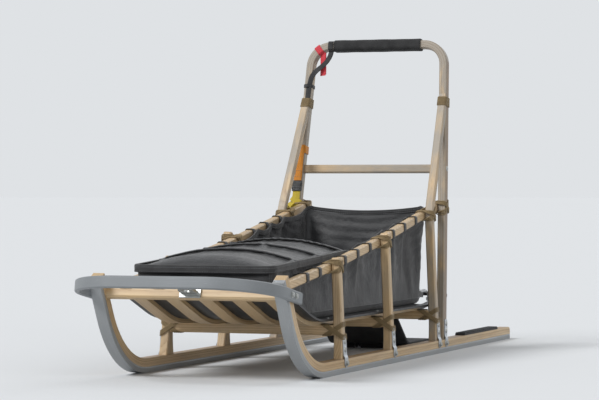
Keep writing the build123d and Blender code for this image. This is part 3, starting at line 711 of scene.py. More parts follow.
def ash(name, axes, weathering_and_shade, laminated):
    """Oiled ash, sawn and steam-bent: open rings with short pores, glue lines and a greyed, rubbed face."""
    wood = bpy.context.scene.sled_wood
    material, add = new_material(name)
    grain = axes(add)
    # Each piece is cut from its own place in the plank
    cut = add("VectorMath", (0.31, 0.17, 1.9), add("ObjectInfo").outputs["Random"], operation="MULTIPLY")
    point = add("VectorMath", grain, cut, operation="ADD")
    wander = stretched_noise(add, point, 22 * MM, 9.0, 2.0).outputs["Color"]
    sway = add("VectorMath", wander, (0.006, 0.006, 0.0), operation="MULTIPLY")
    swayed = add("VectorMath", sway, point, operation="ADD")
    # The rings' centre lies outside the piece, and they hardly change along it
    centred = add("VectorMath", swayed, (0.055, 0.03, 0.0), operation="ADD")
    flat = add("VectorMath", centred, (1.0, 1.0, 0.022), operation="MULTIPLY")
    # A wave of scale 1 repeats every pi / 10 metres
    rings = add("TexWave", flat, pi / 10 / wood.ring, 1.4, 2.0, 1.5,
                wave_type="RINGS", rings_direction="Z", wave_profile="SAW")
    early = add("MapRange", rings.outputs["Fac"], 0.45, 1.0)
    pores = patches(add, swayed, 1.1 * MM, 22.0, 1.0, 0.56, 0.72)
    tone = patches(add, point, 60 * MM, 6.0, 2.0, 0.3, 0.75)
    grown = tinted(add, wood.pale, wood.dark, early, 0.62)
    toned = tinted(add, grown, wood.dark, tone, 0.3)
    # Greyed in patches: weathered wood, and where the share is high, painted shading as well
    greyed = tinted(add, toned, wood.grey, patches(add, point, 35 * MM, 4.0, 4.0, 0.25, 0.7), weathering_and_shade)
    open_pores = add("Math", pores, early, operation="MULTIPLY")
    dark = add("Math", open_pores, 0.55, operation="MULTIPLY")
    if laminated:
        plies = add("Math", add("SeparateXYZ", grain).outputs["Y"], wood.ply, operation="DIVIDE")
        from_line = add("Math", add("Math", plies, operation="FRACT"), 0.5, operation="SUBTRACT")
        line = add("MapRange", add("Math", from_line, operation="ABSOLUTE"), 0.42, 0.47)
        dark = add("Math", dark, add("Math", line, 0.6, operation="MULTIPLY"), operation="MAXIMUM")
    lined = add("Mix", dark, greyed, wood.glue, data_type="RGBA")
    rubbed = tinted(add, lined, wood.grey, worn_edge(add, 3 * MM, 28.0), 0.45)
    roughness = add("MapRange", tone, To_Min=0.42, To_Max=0.58)
    relief = add("Math", 1.0, dark, operation="SUBTRACT")
    close_material(add, rubbed, roughness, relief, 0.25 * MM, Coat_Weight=0.12, Coat_Roughness=0.35)
    return material


def scuffed_plastic(name, axes, base, roughness, scuff):
    """Polyethylene, extruded or rolled: a waxy sheen with long pale scratches from snow and gravel."""
    material, add = new_material(name)
    point = axes(add)
    scratches = patches(add, point, 1.6 * MM, 60.0, 2.0, 0.6, 0.74)
    cloudy = patches(add, point, 45 * MM, 3.0, 4.0, 0.3, 0.75)
    lifted = shaded(base, 1.5, 0.05)
    marks = add("Math", scratches, add("MapRange", cloudy, To_Min=0.15, To_Max=scuff), operation="MULTIPLY")
    wear = add("Math", worn_edge(add, 2.5 * MM, 40.0), 0.5, operation="MULTIPLY")
    pale = add("Math", marks, wear, operation="MAXIMUM")
    dusty = tinted(add, base, lifted, cloudy, 0.22)
    scratched = add("Mix", pale, dusty, lifted, data_type="RGBA")
    rough = add("MapRange", cloudy, To_Min=roughness, To_Max=min(1.0, roughness + 0.2))
    relief = add("Math", 1.0, scratches, operation="SUBTRACT")
    close_material(add, scratched, rough, relief, 0.15 * MM, IOR=1.51)
    return material


def moulded_rubber(name, base, pore, roughness):
    """Rubber, foam or acetal, moulded: dull and black, greyed on what rubs, with a fine skin."""
    material, add = new_material(name)
    place = add("TexCoord").outputs["Object"]
    skin = add("TexVoronoi", place, 1.0 / pore)
    dust = add("Math", patches(add, place, 30 * MM, 1.5, 5.0, 0.35, 0.75), 0.35, operation="MULTIPLY")
    wear = add("Math", worn_edge(add, 2 * MM, 60.0), 0.7, operation="MULTIPLY")
    pale = add("Math", dust, wear, operation="MAXIMUM")
    worn = add("Mix", pale, base, shaded(base, 2.6, 0.045), data_type="RGBA")
    close_material(add, worn, roughness, skin.outputs["Distance"], 0.4 * MM)
    return material


def metal(name, base, worn, roughness, streak, wear_share, metallic=1.0, rust=0.0):
    """Metal with a drawn or plated skin, rubbed bright on its edges."""
    material, add = new_material(name)
    place = add("TexCoord").outputs["Object"]
    lines = stretched_noise(add, place, streak, 12.0, 3.0)
    blotches = patches(add, place, 18 * MM, 1.0, 5.0, 0.35, 0.7)
    wear = add("Math", worn_edge(add, 2 * MM, 70.0), wear_share, operation="MULTIPLY")
    bright = add("Mix", wear, base, worn, data_type="RGBA")
    stained = tinted(add, bright, bpy.context.scene.sled_metal.rust, blotches, rust)
    rough = add("MapRange", blotches, To_Min=roughness, To_Max=roughness + 0.18)
    shine = add("MapRange", wear, To_Min=metallic, To_Max=1.0) if metallic < 1.0 else metallic
    close_material(add, stained, rough, lines, 0.08 * MM, Metallic=shine)
    return material


def rail_metal(name, base):
    """Anodised aluminium, extruded: satin grey with die lines along the rail."""
    material, add = new_material(name)
    point = runner_axes(add)
    die_lines = stretched_noise(add, point, 0.9 * MM, 400.0, 2.0)
    rub = patches(add, point, 25 * MM, 8.0, 4.0, 0.3, 0.75)
    tone = add("Mix", rub, base, shaded(base, 0.72), data_type="RGBA")
    rough = add("MapRange", rub, To_Min=0.32, To_Max=0.5)
    close_material(add, tone, rough, die_lines, 0.1 * MM, Metallic=1.0)
    return material


def webbing(name, base):
    """Polyester webbing, woven narrow: cross ribs with a herringbone face and painted shadow between the
    ribs, faded where it rubs.
    """
    rib = bpy.context.scene.sled_fabric.rib
    material, add = new_material(name)
    x, y, _ = add("SeparateXYZ", add("UVMap", uv_map="metres")).outputs
    across = add("Math", x, 2 * pi / (rib * 1.6), operation="MULTIPLY")
    slant = add("Math", add("Math", across, operation="SINE"), 1.3, operation="MULTIPLY")
    along = add("Math", y, 2 * pi / rib, slant, operation="MULTIPLY_ADD")
    height = add("MapRange", add("Math", along, operation="SINE"), -1.0, 1.0)
    faded = patches(add, add("TexCoord").outputs["Object"], 26 * MM, 1.0, 5.0, 0.35, 0.75)
    # Darker where the ribs' relief is low: painted shadow between the ribs
    ribs_with_painted_shade = add("Mix", height, shaded(base, 0.55), base, data_type="RGBA")
    worn = tinted(add, ribs_with_painted_shade, shaded(base, 0.85, 0.06), faded, 0.4)
    close_material(add, worn, 0.72, height, 0.35 * MM, Sheen_Weight=0.25, Sheen_Roughness=0.4)
    return material


def coated_nylon(name, base):
    """Coated nylon, plain woven: a dull black face with crossed yarns and painted shadow between them, dusty
    creases and a faint sheen.
    """
    pitch = bpy.context.scene.sled_fabric.weave
    material, add = new_material(name)
    x, y, _ = add("SeparateXYZ", add("UVMap", uv_map="metres")).outputs
    warp, weft = [
        add("Math", add("Math", run, 2 * pi / pitch, operation="MULTIPLY"), operation="SINE")
        for run in (x, y)
    ]
    weave = add("MapRange", add("Math", warp, weft, operation="MULTIPLY"), -1.0, 1.0)
    place = add("TexCoord").outputs["Object"]
    dust = patches(add, place, 70 * MM, 1.0, 6.0, 0.4, 0.75)
    creases = stretched_noise(add, place, 16 * MM, 1.0, 5.0, 0.6)
    # Darker where the weave's relief is low: painted shadow between the yarns
    woven = add("Mix", weave, shaded(base, 0.6), base, data_type="RGBA")
    tone = tinted(add, woven, shaded(base, 1.4, 0.028), dust, 0.5)
    relief = add("Math", weave, 0.12, creases, operation="MULTIPLY_ADD")
    rough = add("MapRange", dust, To_Min=0.46, To_Max=0.68)
    close_material(add, tone, rough, relief, 2.2 * MM, Sheen_Weight=0.25, Sheen_Roughness=0.45)
    return material


def twisted_cord(name):
    """Waxed nylon cord, laid: slanting strands with painted shadow in the grooves between them, and patches
    of dirt.
    """
    cord = bpy.context.scene.sled_cord
    material, add = new_material(name)
    x, y, _ = add("SeparateXYZ", add("UVMap", uv_map="metres")).outputs
    turn = add("Math", x, 4 * pi / (pi * cord.diameter), operation="MULTIPLY")
    lay = add("Math", y, 2 * pi / (cord.diameter * 1.2), turn, operation="MULTIPLY_ADD")
    strand = add("MapRange", add("Math", lay, operation="SINE"), -1.0, 0.4)
    dirt = patches(add, add("TexCoord").outputs["Object"], 14 * MM, 1.0, 4.0, 0.35, 0.7)
    # Darker where the strands' relief is low: painted shadow in the grooves
    laid = add("Mix", strand, cord.groove_shade_and_dirt, cord.fibre, data_type="RGBA")
    close_material(add, tinted(add, laid, cord.groove_shade_and_dirt, dirt, 0.35), 0.6, strand, 0.4 * MM)
    return material


def spun_thread(name, base):
    """Bonded polyester thread, spun: a slightly glossy grey bead."""
    material, add = new_material(name)
    close_material(add, base, 0.5)
    return material


def made(maker, name, *values, **options):
    """A material by its name, made the first time that it is asked for."""
    return bpy.data.materials.get(name) or maker(name, *values, **options)


def dyed_webbing(dye):
    """Webbing in one of the fabric's named colours."""
    return made(webbing, f"polyester_webbing_{dye}", getattr(bpy.context.scene.sled_fabric, dye))


def bag_cloth():
    """Cloth of the bag and its cover."""
    return made(coated_nylon, "coated_nylon_plain_woven", bpy.context.scene.sled_fabric.bag)


def seam_thread():
    """Thread of every seam."""
    return made(spun_thread, "bonded_polyester_thread", bpy.context.scene.sled_fabric.thread)


def zinc_steel():
    """Plated steel of the hinge, the tow eye and the fasteners: pale grey, rubbed bright on its corners."""
    metals = bpy.context.scene.sled_metal
    return made(metal, "zinc_plated_steel", metals.zinc, metals.bare, roughness=0.34, streak=2 * MM,
                wear_share=0.5, rust=0.06)


def finish(names, material, width):
    """Give frame nodes their material, and ease their edges with a weld and a narrow bevel."""
    for name in names:
        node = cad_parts[name]
        node.data.materials.clear()
        node.data.materials.append(material)
        weld = node.modifiers.new("weld", "WELD")
        weld.merge_threshold = 0.02 * MM
        bevel = node.modifiers.new("eased edges", "BEVEL")
        bevel.width = width
        bevel.segments = 2
        bevel.limit_method = "ANGLE"
        bevel.angle_limit = radians(32)
        bevel.use_clamp_overlap = True
        normals = node.modifiers.new("face normals", "WEIGHTED_NORMAL")
        normals.keep_sharp = False


# Operators


class SledPiece:
    """What every operator of the sled shares."""

    bl_options = {"REGISTER", "UNDO"}


class SLED_OT_ash(SledPiece, bpy.types.Operator):
    """Finish the runners, uprights, rails, crossbars, slats and driving bow in oiled ash."""

    bl_idname = "sled.ash"
    bl_label = "Oiled ash"

    def execute(self, context):
        uprights = (*pair("upright_front"), *pair("upright_middle"))
        bars = [f"crossbar_{place}" for place in ("nose", "front", "middle", "rear")]
        # Nodes, material, run of the grain, how far the wood is greyed, and whether it is laminated; the bow,
        # its braces and its cross piece are greyed furthest, partly as weathered wood and partly as painted
        # shading
        for names, material, axes, weathering_and_shade, laminated in (
            (pair("runner"), "ash_bent_runner", runner_axes, 0.3, True),
            (["driving_bow"], "ash_bent_bow", bow_axes, 1.8, True),
            (pair("upright_rear"), "ash_bent_brace", brace_axes, 1.3, False),
            (uprights, "ash_sawn_upright", GRAIN_UP, 0.5, False),
            (pair("side_rail"), "ash_sawn_side_rail", partial(GRAIN_ALONG, tilt=RAIL_CLIMB), 0.5, False),
            (bars, "ash_sawn_crossbar", GRAIN_ACROSS, 0.35, False),
            (["bow_crossbar"], "ash_sawn_bow_bar", GRAIN_ACROSS, 1.2, False),
            (["bed_slats"], "ash_bent_slat", bed_axes, 0.3, False),
        ):
            finish(names, ash(material, axes, weathering_and_shade, laminated), context.scene.sled_wood.edge)
        return {"FINISHED"}


class SLED_OT_plastic(SledPiece, bpy.types.Operator):
    """Finish the shoes, the brush bow and the bed sheet in scuffed polyethylene."""

    bl_idname = "sled.plastic"
    bl_label = "Polyethylene"

    def execute(self, context):
        plastic = context.scene.sled_plastic
        # Nodes, material, run of the scratches, colour, roughness and strength of the scratches
        for names, material, axes, base, roughness, scuff in (
            (pair("runner_shoe"), "polyethylene_extruded_shoe", runner_axes, plastic.shoe, 0.42, 0.9),
            (["brush_bow"], "polyethylene_bent_strip", GRAIN_ACROSS, plastic.brush_bow, 0.4, 0.7),
            (["bed_sheet"], "polyethylene_rolled_sheet", GRAIN_ALONG, plastic.bed, 0.36, 0.6),
        ):
            finish(names, scuffed_plastic(material, axes, base, roughness, scuff), 0.8 * MM)
        return {"FINISHED"}


class SLED_OT_rubber(SledPiece, bpy.types.Operator):
    """Finish the foot pads and the drag mat in moulded rubber."""

    bl_idname = "sled.rubber"
    bl_label = "Moulded rubber"

    def execute(self, context):
        base = context.scene.sled_plastic.rubber
        rubber = moulded_rubber("rubber_moulded", base, pore=1.4 * MM, roughness=0.75)
        finish([*pair("foot_pad"), "drag_mat"], rubber, 0.7 * MM)
        return {"FINISHED"}


class SLED_OT_metal(SledPiece, bpy.types.Operator):
    """Finish the rails, the brake, the hinge and the tow eye in aluminium and steel."""

    bl_idname = "sled.metal"
    bl_label = "Aluminium and steel"

    def execute(self, context):
        metals = context.scene.sled_metal
        rail = rail_metal("anodised_aluminium_extruded", metals.aluminium)
        # Satin black, chipped to bright steel along its edges
        coated = metal("steel_powder_coated", metals.coating, metals.bare, roughness=0.42, streak=1.2 * MM,
                       wear_share=0.9, metallic=0.0, rust=0.03)
        # Scoured bright by the snow, with fine streaks and light rust
        worn = metal("steel_forged_worn", metals.bare, metals.bare, roughness=0.38, streak=1.0 * MM,
                     wear_share=0.5, rust=0.1)
        # Nodes, material and width of the eased edges in millimetres
        for names, material, width in (
            (pair("runner_rail"), rail, 0.5), (["hinge_rod"], zinc_steel(), 0.6),
            (["hinge_ears", "mat_bar"], zinc_steel(), 0.8), (["tow_eye"], zinc_steel(), 1.0),
            (["brake_frame"], coated, 1.6), (["brake_tread"], worn, 0.7), (["brake_claws"], worn, 1.2),
        ):
            finish(names, material, width * MM)
        return {"FINISHED"}


def bag_span(y):
    """Height of the bag's floor and rim at a place along the sled, from its solid."""
    heights = cross_section("load_bag", y)[:, 2]
    return heights.min(), heights.max()


def outward_of(loop, closed):
    """Level direction out of a rim that runs clockwise as seen from above."""
    return units(np.cross(UP, tangents(loop, closed)))


def tub_outline(rear, front, half, corner, spacing):
    """Plan of the bag from the middle of its rear wall, by the left side, to the middle of its nose."""
    end = np.linspace(0, half - corner, max(3, int((half - corner) / spacing) + 1))
    run = np.linspace(rear - corner, front + corner, int((rear - front - 2 * corner) / spacing) + 1)
    turns = np.linspace(0, pi / 2, 5)[1:-1]
    points = [(x, rear) for x in end]
    points += [(half - corner + corner * sin(t), rear - corner + corner * cos(t)) for t in turns]
    points += [(half, y) for y in run]
    points += [(half - corner + corner * cos(t), front + corner - corner * sin(t)) for t in turns]
    points += [(x, front) for x in end[::-1]]
    return np.array(points)


def tub_grid(spacing):
    """Rings of the bag from its rim, down its walls and in over its floor, and the rows in its walls."""
    half, rounding, ruck = BAG_HIGH.x - 2 * MM, 18 * MM, 4 * MM
    nose_y, rear_high = BAG_LOW.y, BAG_HIGH.y - 3 * MM
    rear_low = rear_high - (BAG_HIGH.z - BAG_LOW.z) * tan(BOW_LEAN)
    stations = np.linspace(nose_y + 1 * MM, BAG_HIGH.y - 1 * MM, 60)
    spans = np.array([bag_span(y) for y in stations])
    floors, rims = np.minimum.accumulate(spans[:, 0]), spans[:, 1]
    top = tub_outline(rear_high, nose_y, half, BAG_CORNER, spacing)
    low = top.copy()
    low[:, 1] = nose_y + (top[:, 1] - nose_y) * (rear_low - nose_y) / (rear_high - nose_y)
    rim = np.column_stack([top, np.interp(top[:, 1], stations, rims)])
    foot = np.column_stack([low, np.interp(low[:, 1], stations, floors)])
    wall_rows = int((BAG_HIGH.z - BAG_LOW.z) / spacing)
    rings = [rim + share * (foot + UP * rounding - rim) for share in np.linspace(0, 1, wall_rows + 1)[:-1]]
    inward = -outward_of(np.column_stack([low, np.zeros(len(low))]), closed=False)
    for turn in np.linspace(0, pi / 2, 4):
        rings.append(foot + inward * rounding * (1 - cos(turn)) + UP * rounding * (1 - sin(turn)))
    inner = rings[-1]
    rear, front = inner[0, 1], inner[-1, 1]
    for share in np.linspace(0, 1, 14)[1:]:
        ring = inner.copy()
        reach = half * 0.9 * share
        scale = (rear - front - 2 * reach) / (rear - front)
        ring[:, 0] *= 1 - share
        ring[:, 1] = front + reach + (inner[:, 1] - front) * scale
        ring[:, 2] = np.interp(ring[:, 1], stations, floors)
        rucks = [noise.noise(Vector((x / 0.06, y / 0.12, 3.0))) for x, y, _ in ring]
        ring[:, 2] += ruck * np.maximum(rucks, 0.0) * min(1.0, share * 5)
        rings.append(ring)
    left = np.array(rings)
    right = left[:, 1:-1][:, ::-1] * np.array((-1.0, 1.0, 1.0))
    return np.concatenate([left, right], axis=1), wall_rows


def crumple(points, wall_rows, holds):
    """Sag the open rim between its hangers and buckle the slack walls."""
    side_dip, rear_dip, ridge_height, ridge_width = 13 * MM, 15 * MM, 7 * MM, 13 * MM
    swag, swag_pitch, swag_hang = 3.4 * MM, 33 * MM, 34 * MM
    rim = points[0].copy()
    outward = outward_of(rim, closed=True)
    half = np.abs(rim[:, 0]).max()
    edges = np.array(sorted([*holds, COVER_HIGH.y, rim[:, 1].max()]))
    place = np.clip(np.searchsorted(edges, rim[:, 1]), 1, len(edges) - 1)
    gap = edges[place] - edges[place - 1]
    share = np.clip((rim[:, 1] - edges[place - 1]) / gap, 0, 1)
    at_rear = rim[:, 1] > rim[:, 1].max() - 1 * MM
    arch = np.clip(1 - (rim[:, 0] / half) ** 2, 0, 1)
    dip = np.minimum(side_dip, 0.11 * gap) * 4 * share * (1 - share) * (rim[:, 1] > COVER_HIGH.y)
    dip = np.where(at_rear, rear_dip * arch, dip)
    slack = np.where(at_rear, arch, 4 * share * (1 - share))
    nearest = np.abs(rim[:, 1][:, None] - np.array(holds)[None]).min(axis=1)
    ridge = ridge_height * np.exp(-(nearest / ridge_width) ** 2) * ~at_rear
    for row in range(wall_rows + 1):
        down = row / wall_rows
        window = sin(pi * down) ** 0.8 if 0 < down < 1 else 0.0
        for column in range(len(rim)):
            spot = Vector(points[row, column])
            broad = noise.noise(Vector((spot.x / 0.11, spot.y / 0.11, spot.z / 0.30)))
            fine = noise.noise(Vector((spot.x / 0.045, spot.y / 0.045, spot.z / 0.10 + 7)))
            push = window * ((11.0 * broad + 5.5 * fine - 5.0) * MM)
            push += ridge[column] * window * (1 - down) - 0.6 * dip[column] * (1 - down)
            # Swags: curved folds that hang below each slack length of rim
            depth = (rim[column, 2] - spot.z) - swag_hang * slack[column] + 8 * MM * broad
            fade = min(1.0, row / 3) * exp(-2.6 * down) * min(1.0, (1 - down) * 6)
            push += swag * sin(2 * pi * depth / swag_pitch) * fade * (0.3 + 0.7 * slack[column])
            points[row, column] += outward[column] * push
            points[row, column, 2] -= dip[column] * (1 - down) ** 2
    return points


def tub_faces(points, floor_row):
    """Faces and metre-scale UVs of the tub, whose last ring is folded together along its middle."""
    flat = points.reshape(-1, 3)
    rows, full = points.shape[:2]
    fold = np.arange(full)
    fold[full // 2 + 1:] = full - fold[full // 2 + 1:]
    run, total = distances(points[0], closed=True)
    run = [*run, total]
    down, _ = distances(points[:, full // 4])
    faces, uvs = [], []
    for row in range(rows - 1):
        below = fold if row == rows - 2 else np.arange(full)
        for step in range(full):
            after = (step + 1) % full
            low = [(row + 1) * full + int(below[place]) for place in (step, after)]
            face = (row * full + step, low[0], low[1], row * full + after)
            spots = ((run[step], down[row]), (run[step], down[row + 1]),
                     (run[step + 1], down[row + 1]), (run[step + 1], down[row]))
            if row >= floor_row:
                spots = tuple((flat[index][0], flat[index][1]) for index in face)
            kept = [place for place in range(4) if face[place] not in face[:place]]
            faces.append(tuple(face[place] for place in kept))
            uvs.append(tuple(spots[place] for place in kept))
    return faces, uvs


def settle(piece, weights, cap, growth=0.02, frames=20):
    """Let a fabric piece sag from its pinned points by cloth simulation, and keep the result within a cap."""
    rest = np.array([vertex.co for vertex in piece.data.vertices], float)
    group = piece.vertex_groups.new(name="pinned")
    for index, weight in enumerate(weights.ravel()):
        group.add([index], float(weight), "REPLACE")
    cloth = piece.modifiers.new("cloth", "CLOTH")
    for name, value in {
        "vertex_group_mass": "pinned", "quality": 6, "mass": 0.25, "shrink_min": -growth,
        "tension_stiffness": 25, "compression_stiffness": 25, "bending_stiffness": 0.5, "air_damping": 6,
    }.items():
        setattr(cloth.settings, name, value)
    cloth.point_cache.frame_start = 1
    cloth.point_cache.frame_end = frames
    scene = bpy.context.scene
    for number in range(1, frames + 1):
        scene.frame_set(number)
    evaluated = piece.evaluated_get(bpy.context.evaluated_depsgraph_get())
    moved = np.array([vertex.co for vertex in evaluated.data.vertices], float)
    piece.modifiers.remove(cloth)
    piece.vertex_groups.clear()
    scene.frame_set(1)
    step = moved - rest
    size = np.linalg.norm(step, axis=1, keepdims=True)
    step *= np.minimum(1.0, cap / np.maximum(size, 1e-9))
    moved = rest + step
    piece.data.vertices.foreach_set("co", moved.astype(np.float32).ravel())
    piece.data.update()
    return moved


def thicken(piece):
    """Give a fabric sheet its thickness, inwards."""
    solid = piece.modifiers.new("cloth thickness", "SOLIDIFY")
    solid.thickness = CLOTH
    solid.offset = -1.0
    solid.use_rim = True


class SLED_OT_bag(SledPiece, bpy.types.Operator):
    """Sew the load bag: a sagging tub with a bound rim, taped corners and a piped floor seam."""

    bl_idname = "sled.bag"
    bl_label = "Load bag"

    def execute(self, context):
        fabric = context.scene.sled_fabric
        points, wall_rows = tub_grid(fabric.panel_spacing)
        points = crumple(points, wall_rows, HANGER_Y)
        faces, uvs = tub_faces(points, wall_rows + 3)
        tub = [(points.reshape(-1, 3), faces, uvs)]
        bag = build("load_bag_cloth", tub, bag_cloth(), sharp=180)
        weights = np.zeros(points.shape[:2])
        weights[wall_rows + 2:] = 1.0
        nearest = np.abs(points[0, :, 1][:, None] - np.array(HANGER_Y)[None]).min(axis=1)
        weights[0] = (nearest < fabric.panel_spacing) | (points[0, :, 1] < COVER_HIGH.y + 10 * MM)
        moved = settle(bag, weights, fabric.sag_limit).reshape(points.shape)
        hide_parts("load_bag")
        thicken(bag)
        trim = self.trim(fabric, moved, wall_rows)
        return {"FINISHED"}

    def trim(self, fabric, moved, wall_rows):
        """Rim binding, stitches and seams, laid on the settled cloth."""
        rim = moved[0]
        outward, along = outward_of(rim, closed=True), tangents(rim, closed=True)
        hem = fabric.hem
        binding = np.array((
            (CLOTH, -hem), (CLOTH + 1.4 * MM, -hem), (CLOTH + 1.4 * MM, 0.6 * MM), (CLOTH * 0.6, 2.4 * MM),
            (-2.4 * MM, 2.4 * MM), (-3.4 * MM, 0.6 * MM), (-3.4 * MM, -hem), (-2.0 * MM, -hem),
        ))
        downward = units(moved[1] - rim) * hem
        rows = [downward * drop + outward * offset
                for drop in (0.35, 0.8) for offset in (CLOTH + 1.7 * MM, -3.6 * MM)]
        lines = stitches(rim, rows, fabric.stitch, HEM_THREAD, closed=True)
        tape = rounded_box(11 * MM, 1.4 * MM, 0.6 * MM, 2)
        seams = []
        for column in self.corner_columns(rim):
            lift = outward[column] * 0.9 * MM
            run = moved[1:wall_rows + 2, column] + lift
            seams.append(sweep(run, tape, along[column]))
            rows = [along[column] * shift + lift for shift in (-3.4 * MM, 3.4 * MM)]
            lines += stitches(run, rows, fabric.stitch, THREAD)
        seams.append(sweep(moved[wall_rows] + outward * 1.0 * MM, circle(2.2 * MM, 8), UP, closed=True))
        bound = [sweep(rim, binding, outward, closed=True)]
        return [
            build("load_bag_binding", bound, dyed_webbing("black"), sharp=50),
            build("load_bag_seams", seams, bag_cloth()),
            build("load_bag_stitches", lines, seam_thread()),
        ]

    def corner_columns(self, rim):
        """Columns of the mesh at the middles of the four corners."""
        half, rear, nose = rim[:, 0].max(), rim[:, 1].max(), rim[:, 1].min()
        spots = [(side * half, y) for side in SIDES for y in (rear, nose)]
        return [int(np.argmin(np.linalg.norm(rim[:, :2] - np.array(spot), axis=1))) for spot in spots]


class SLED_OT_cover(SledPiece, bpy.types.Operator):
    """Sew the crowned cover over the front of the bag, with hoops, seams, a skirt and a bound rear edge."""

    bl_idname = "sled.cover"
    bl_label = "Bag cover"

    def execute(self, context):
        fabric = context.scene.sled_fabric
        long_side = COVER_HIGH.y - 1 * MM - (COVER_LOW.y + 1 * MM)
        hoops = (0.34 * long_side, 0.67 * long_side, long_side)
        turned = BAG_CORNER * (1 - np.cos(np.linspace(0, pi / 2, 7)[:-1]))
        run = np.concatenate([turned, np.linspace(BAG_CORNER, long_side, 46)])
        across = np.linspace(-1, 1, 37)
        half = COVER_HIGH.x - 1 * MM
        grid = self.grid(run, across, half, hoops)
        rows, count = grid.shape[:2]
        faces, uvs = [], []
        for row in range(rows - 1):
            for step in range(count - 1):
                corners = ((row, step), (row, step + 1), (row + 1, step + 1), (row + 1, step))
                faces.append(tuple(r * count + s for r, s in corners))
                uvs.append(tuple((across[s] * half, run[r]) for r, s in corners))
        crown = [(grid.reshape(-1, 3), faces, uvs)]
        cover = build("bag_cover_cloth", crown, bag_cloth(), sharp=180)
        hoop_rows = [int(np.argmin(np.abs(run - hoop))) for hoop in hoops]
        weights = np.zeros((rows, count))
        weights[0] = weights[:, 0] = weights[:, -1] = 1.0
        weights[hoop_rows] = 0.92
        moved = settle(cover, weights, 7 * MM).reshape(grid.shape)
        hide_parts("bag_cover")
        thicken(cover)
        trim = self.trim(fabric, moved, hoop_rows)
        return {"FINISHED"}

    def grid(self, run, across, half, hoops):
        """Points of the cover by rows from its nose: crowned, dipped between its hoops and lightly folded."""
        nose_y, rear_y, long_side = COVER_LOW.y + 1 * MM, COVER_HIGH.y - 1 * MM, hoops[-1]
        nose_z, rear_z = bag_span(nose_y + 1 * MM)[1], bag_span(rear_y)[1]
        crown = COVER_HIGH.z - rear_z - 3 * MM
        arch = (1 - across ** 2) ** 0.92
        grid = np.zeros((len(run), len(across), 3))
        for row, place in enumerate(run):
            inset = max(0.0, BAG_CORNER - place)
            width = half - BAG_CORNER + (BAG_CORNER ** 2 - inset ** 2) ** 0.5
            swell = (1 - (1 - min(1.0, place / (75 * MM))) ** 2) ** 0.5
            gap = min(abs(place - hoop) for hoop in hoops) / long_side
            dip = 0.12 * min(1.0, gap / 0.16) ** 1.5 if place > 70 * MM else 0.0
            grid[row, :, 0] = across * width
            grid[row, :, 1] = nose_y + place
            crowned = crown * arch * swell * (0.97 - dip)
            grid[row, :, 2] = nose_z + place / long_side * (rear_z - nose_z) + crowned
            slack = min(1.0, gap / 0.08) * min(1.0, place / (60 * MM))
            for step, x in enumerate(across * width):
                fold = noise.noise(Vector((x / 0.13, place / 0.034 + 6 * x * abs(x) / half, 5.0)))
                fine = noise.noise(Vector((x / 0.05, place / 0.05, 11.0)))
                grid[row, step, 2] += (4.2 * fold + 1.8 * fine) * MM * slack * arch[step] ** 0.4
        grid[:, :, 2] += 1.2 * MM
        return grid

    def trim(self, fabric, moved, hoop_rows):
        """Bound rear edge, skirt, hoop sleeves and stitches, laid on the settled cloth."""
        rear = moved[-1] + UP * 0.6 * MM
        bands = [sweep(rear - BACK * 8 * MM, rounded_box(18 * MM, 3.6 * MM, 1.7 * MM, 3), BACK)]
        rows = [BACK * shift + UP * 2.0 * MM for shift in (-13 * MM, -3 * MM)]
        lines = stitches(rear, rows, fabric.stitch, HEM_THREAD)
        sleeves, sleeve = [], rounded_box(26 * MM, 5.0 * MM, 2.4 * MM, 4)
        rows = [BACK * shift + UP * 2.2 * MM for shift in (-10.5 * MM, 10.5 * MM)]
        for row in hoop_rows[:-1]:
            hoop = moved[row] + UP * 0.4 * MM
            sleeves.append(sweep(hoop, sleeve, BACK))
            lines += stitches(hoop, rows, fabric.stitch, HEM_THREAD)
        edge = evenly(np.concatenate([moved[::-1, -1], moved[0, ::-1][1:-1], moved[:, 0]]), 8 * MM)
        outward = outward_of(edge, closed=False)
        skirt = np.array((
            (3.4, -17.0), (5.0, -17.0), (5.0, 1.4), (3.4, 3.2),
            (-9.0, 3.6), (-9.0, 2.2), (2.6, 1.8), (3.4, 0.8),
        )) * MM
        bands.append(sweep(edge, skirt, outward))
        rows = [outward * 5.2 * MM + UP * height for height in (-3 * MM, -14 * MM)]
        lines += stitches(edge, rows, fabric.stitch, THREAD)
        return [
            build("bag_cover_binding", bands, dyed_webbing("black"), sharp=50),
            build("bag_cover_hoop_sleeves", sleeves, bag_cloth()),
            build("bag_cover_stitches", lines, seam_thread()),
        ]


class SLED_OT_hangers(SledPiece, bpy.types.Operator):
    """Hang the bag from the side rails with short webbing loops, each with a sewn patch."""

    bl_idname = "sled.hangers"
    bl_label = "Bag hangers"

    def execute(self, context):
        fabric = context.scene.sled_fabric
        section = band_section(22 * MM, 1.8 * MM)
        loops, lines = [], []
        for side, word in BOTH:
            rail = f"side_rail_{word}"
            for y in HANGER_Y:
                points = cross_section(rail, y)
                low = min(bag_span(y)[1] - fabric.hem - 12 * MM, points[:, 2].max() - 6 * MM)
                wall = np.array((side * (BAG_HIGH.x + 0.5 * MM), y, low))
                loops.append(wrap([rail], points.mean(axis=0), BACK, SNUG, section, 90 * MM, [wall]))
                patch = wall + np.array((side * 0.6 * MM, 0.0, -3 * MM))
                ends = np.array([patch, patch + UP * 15 * MM])
                lines += stitches(ends, (-8 * MM * BACK, 8 * MM * BACK), fabric.stitch * 0.7, THREAD)
        build("bag_hangers", loops, dyed_webbing("black"), sharp=50)
        build("bag_hanger_stitches", lines, seam_thread())
        return {"FINISHED"}


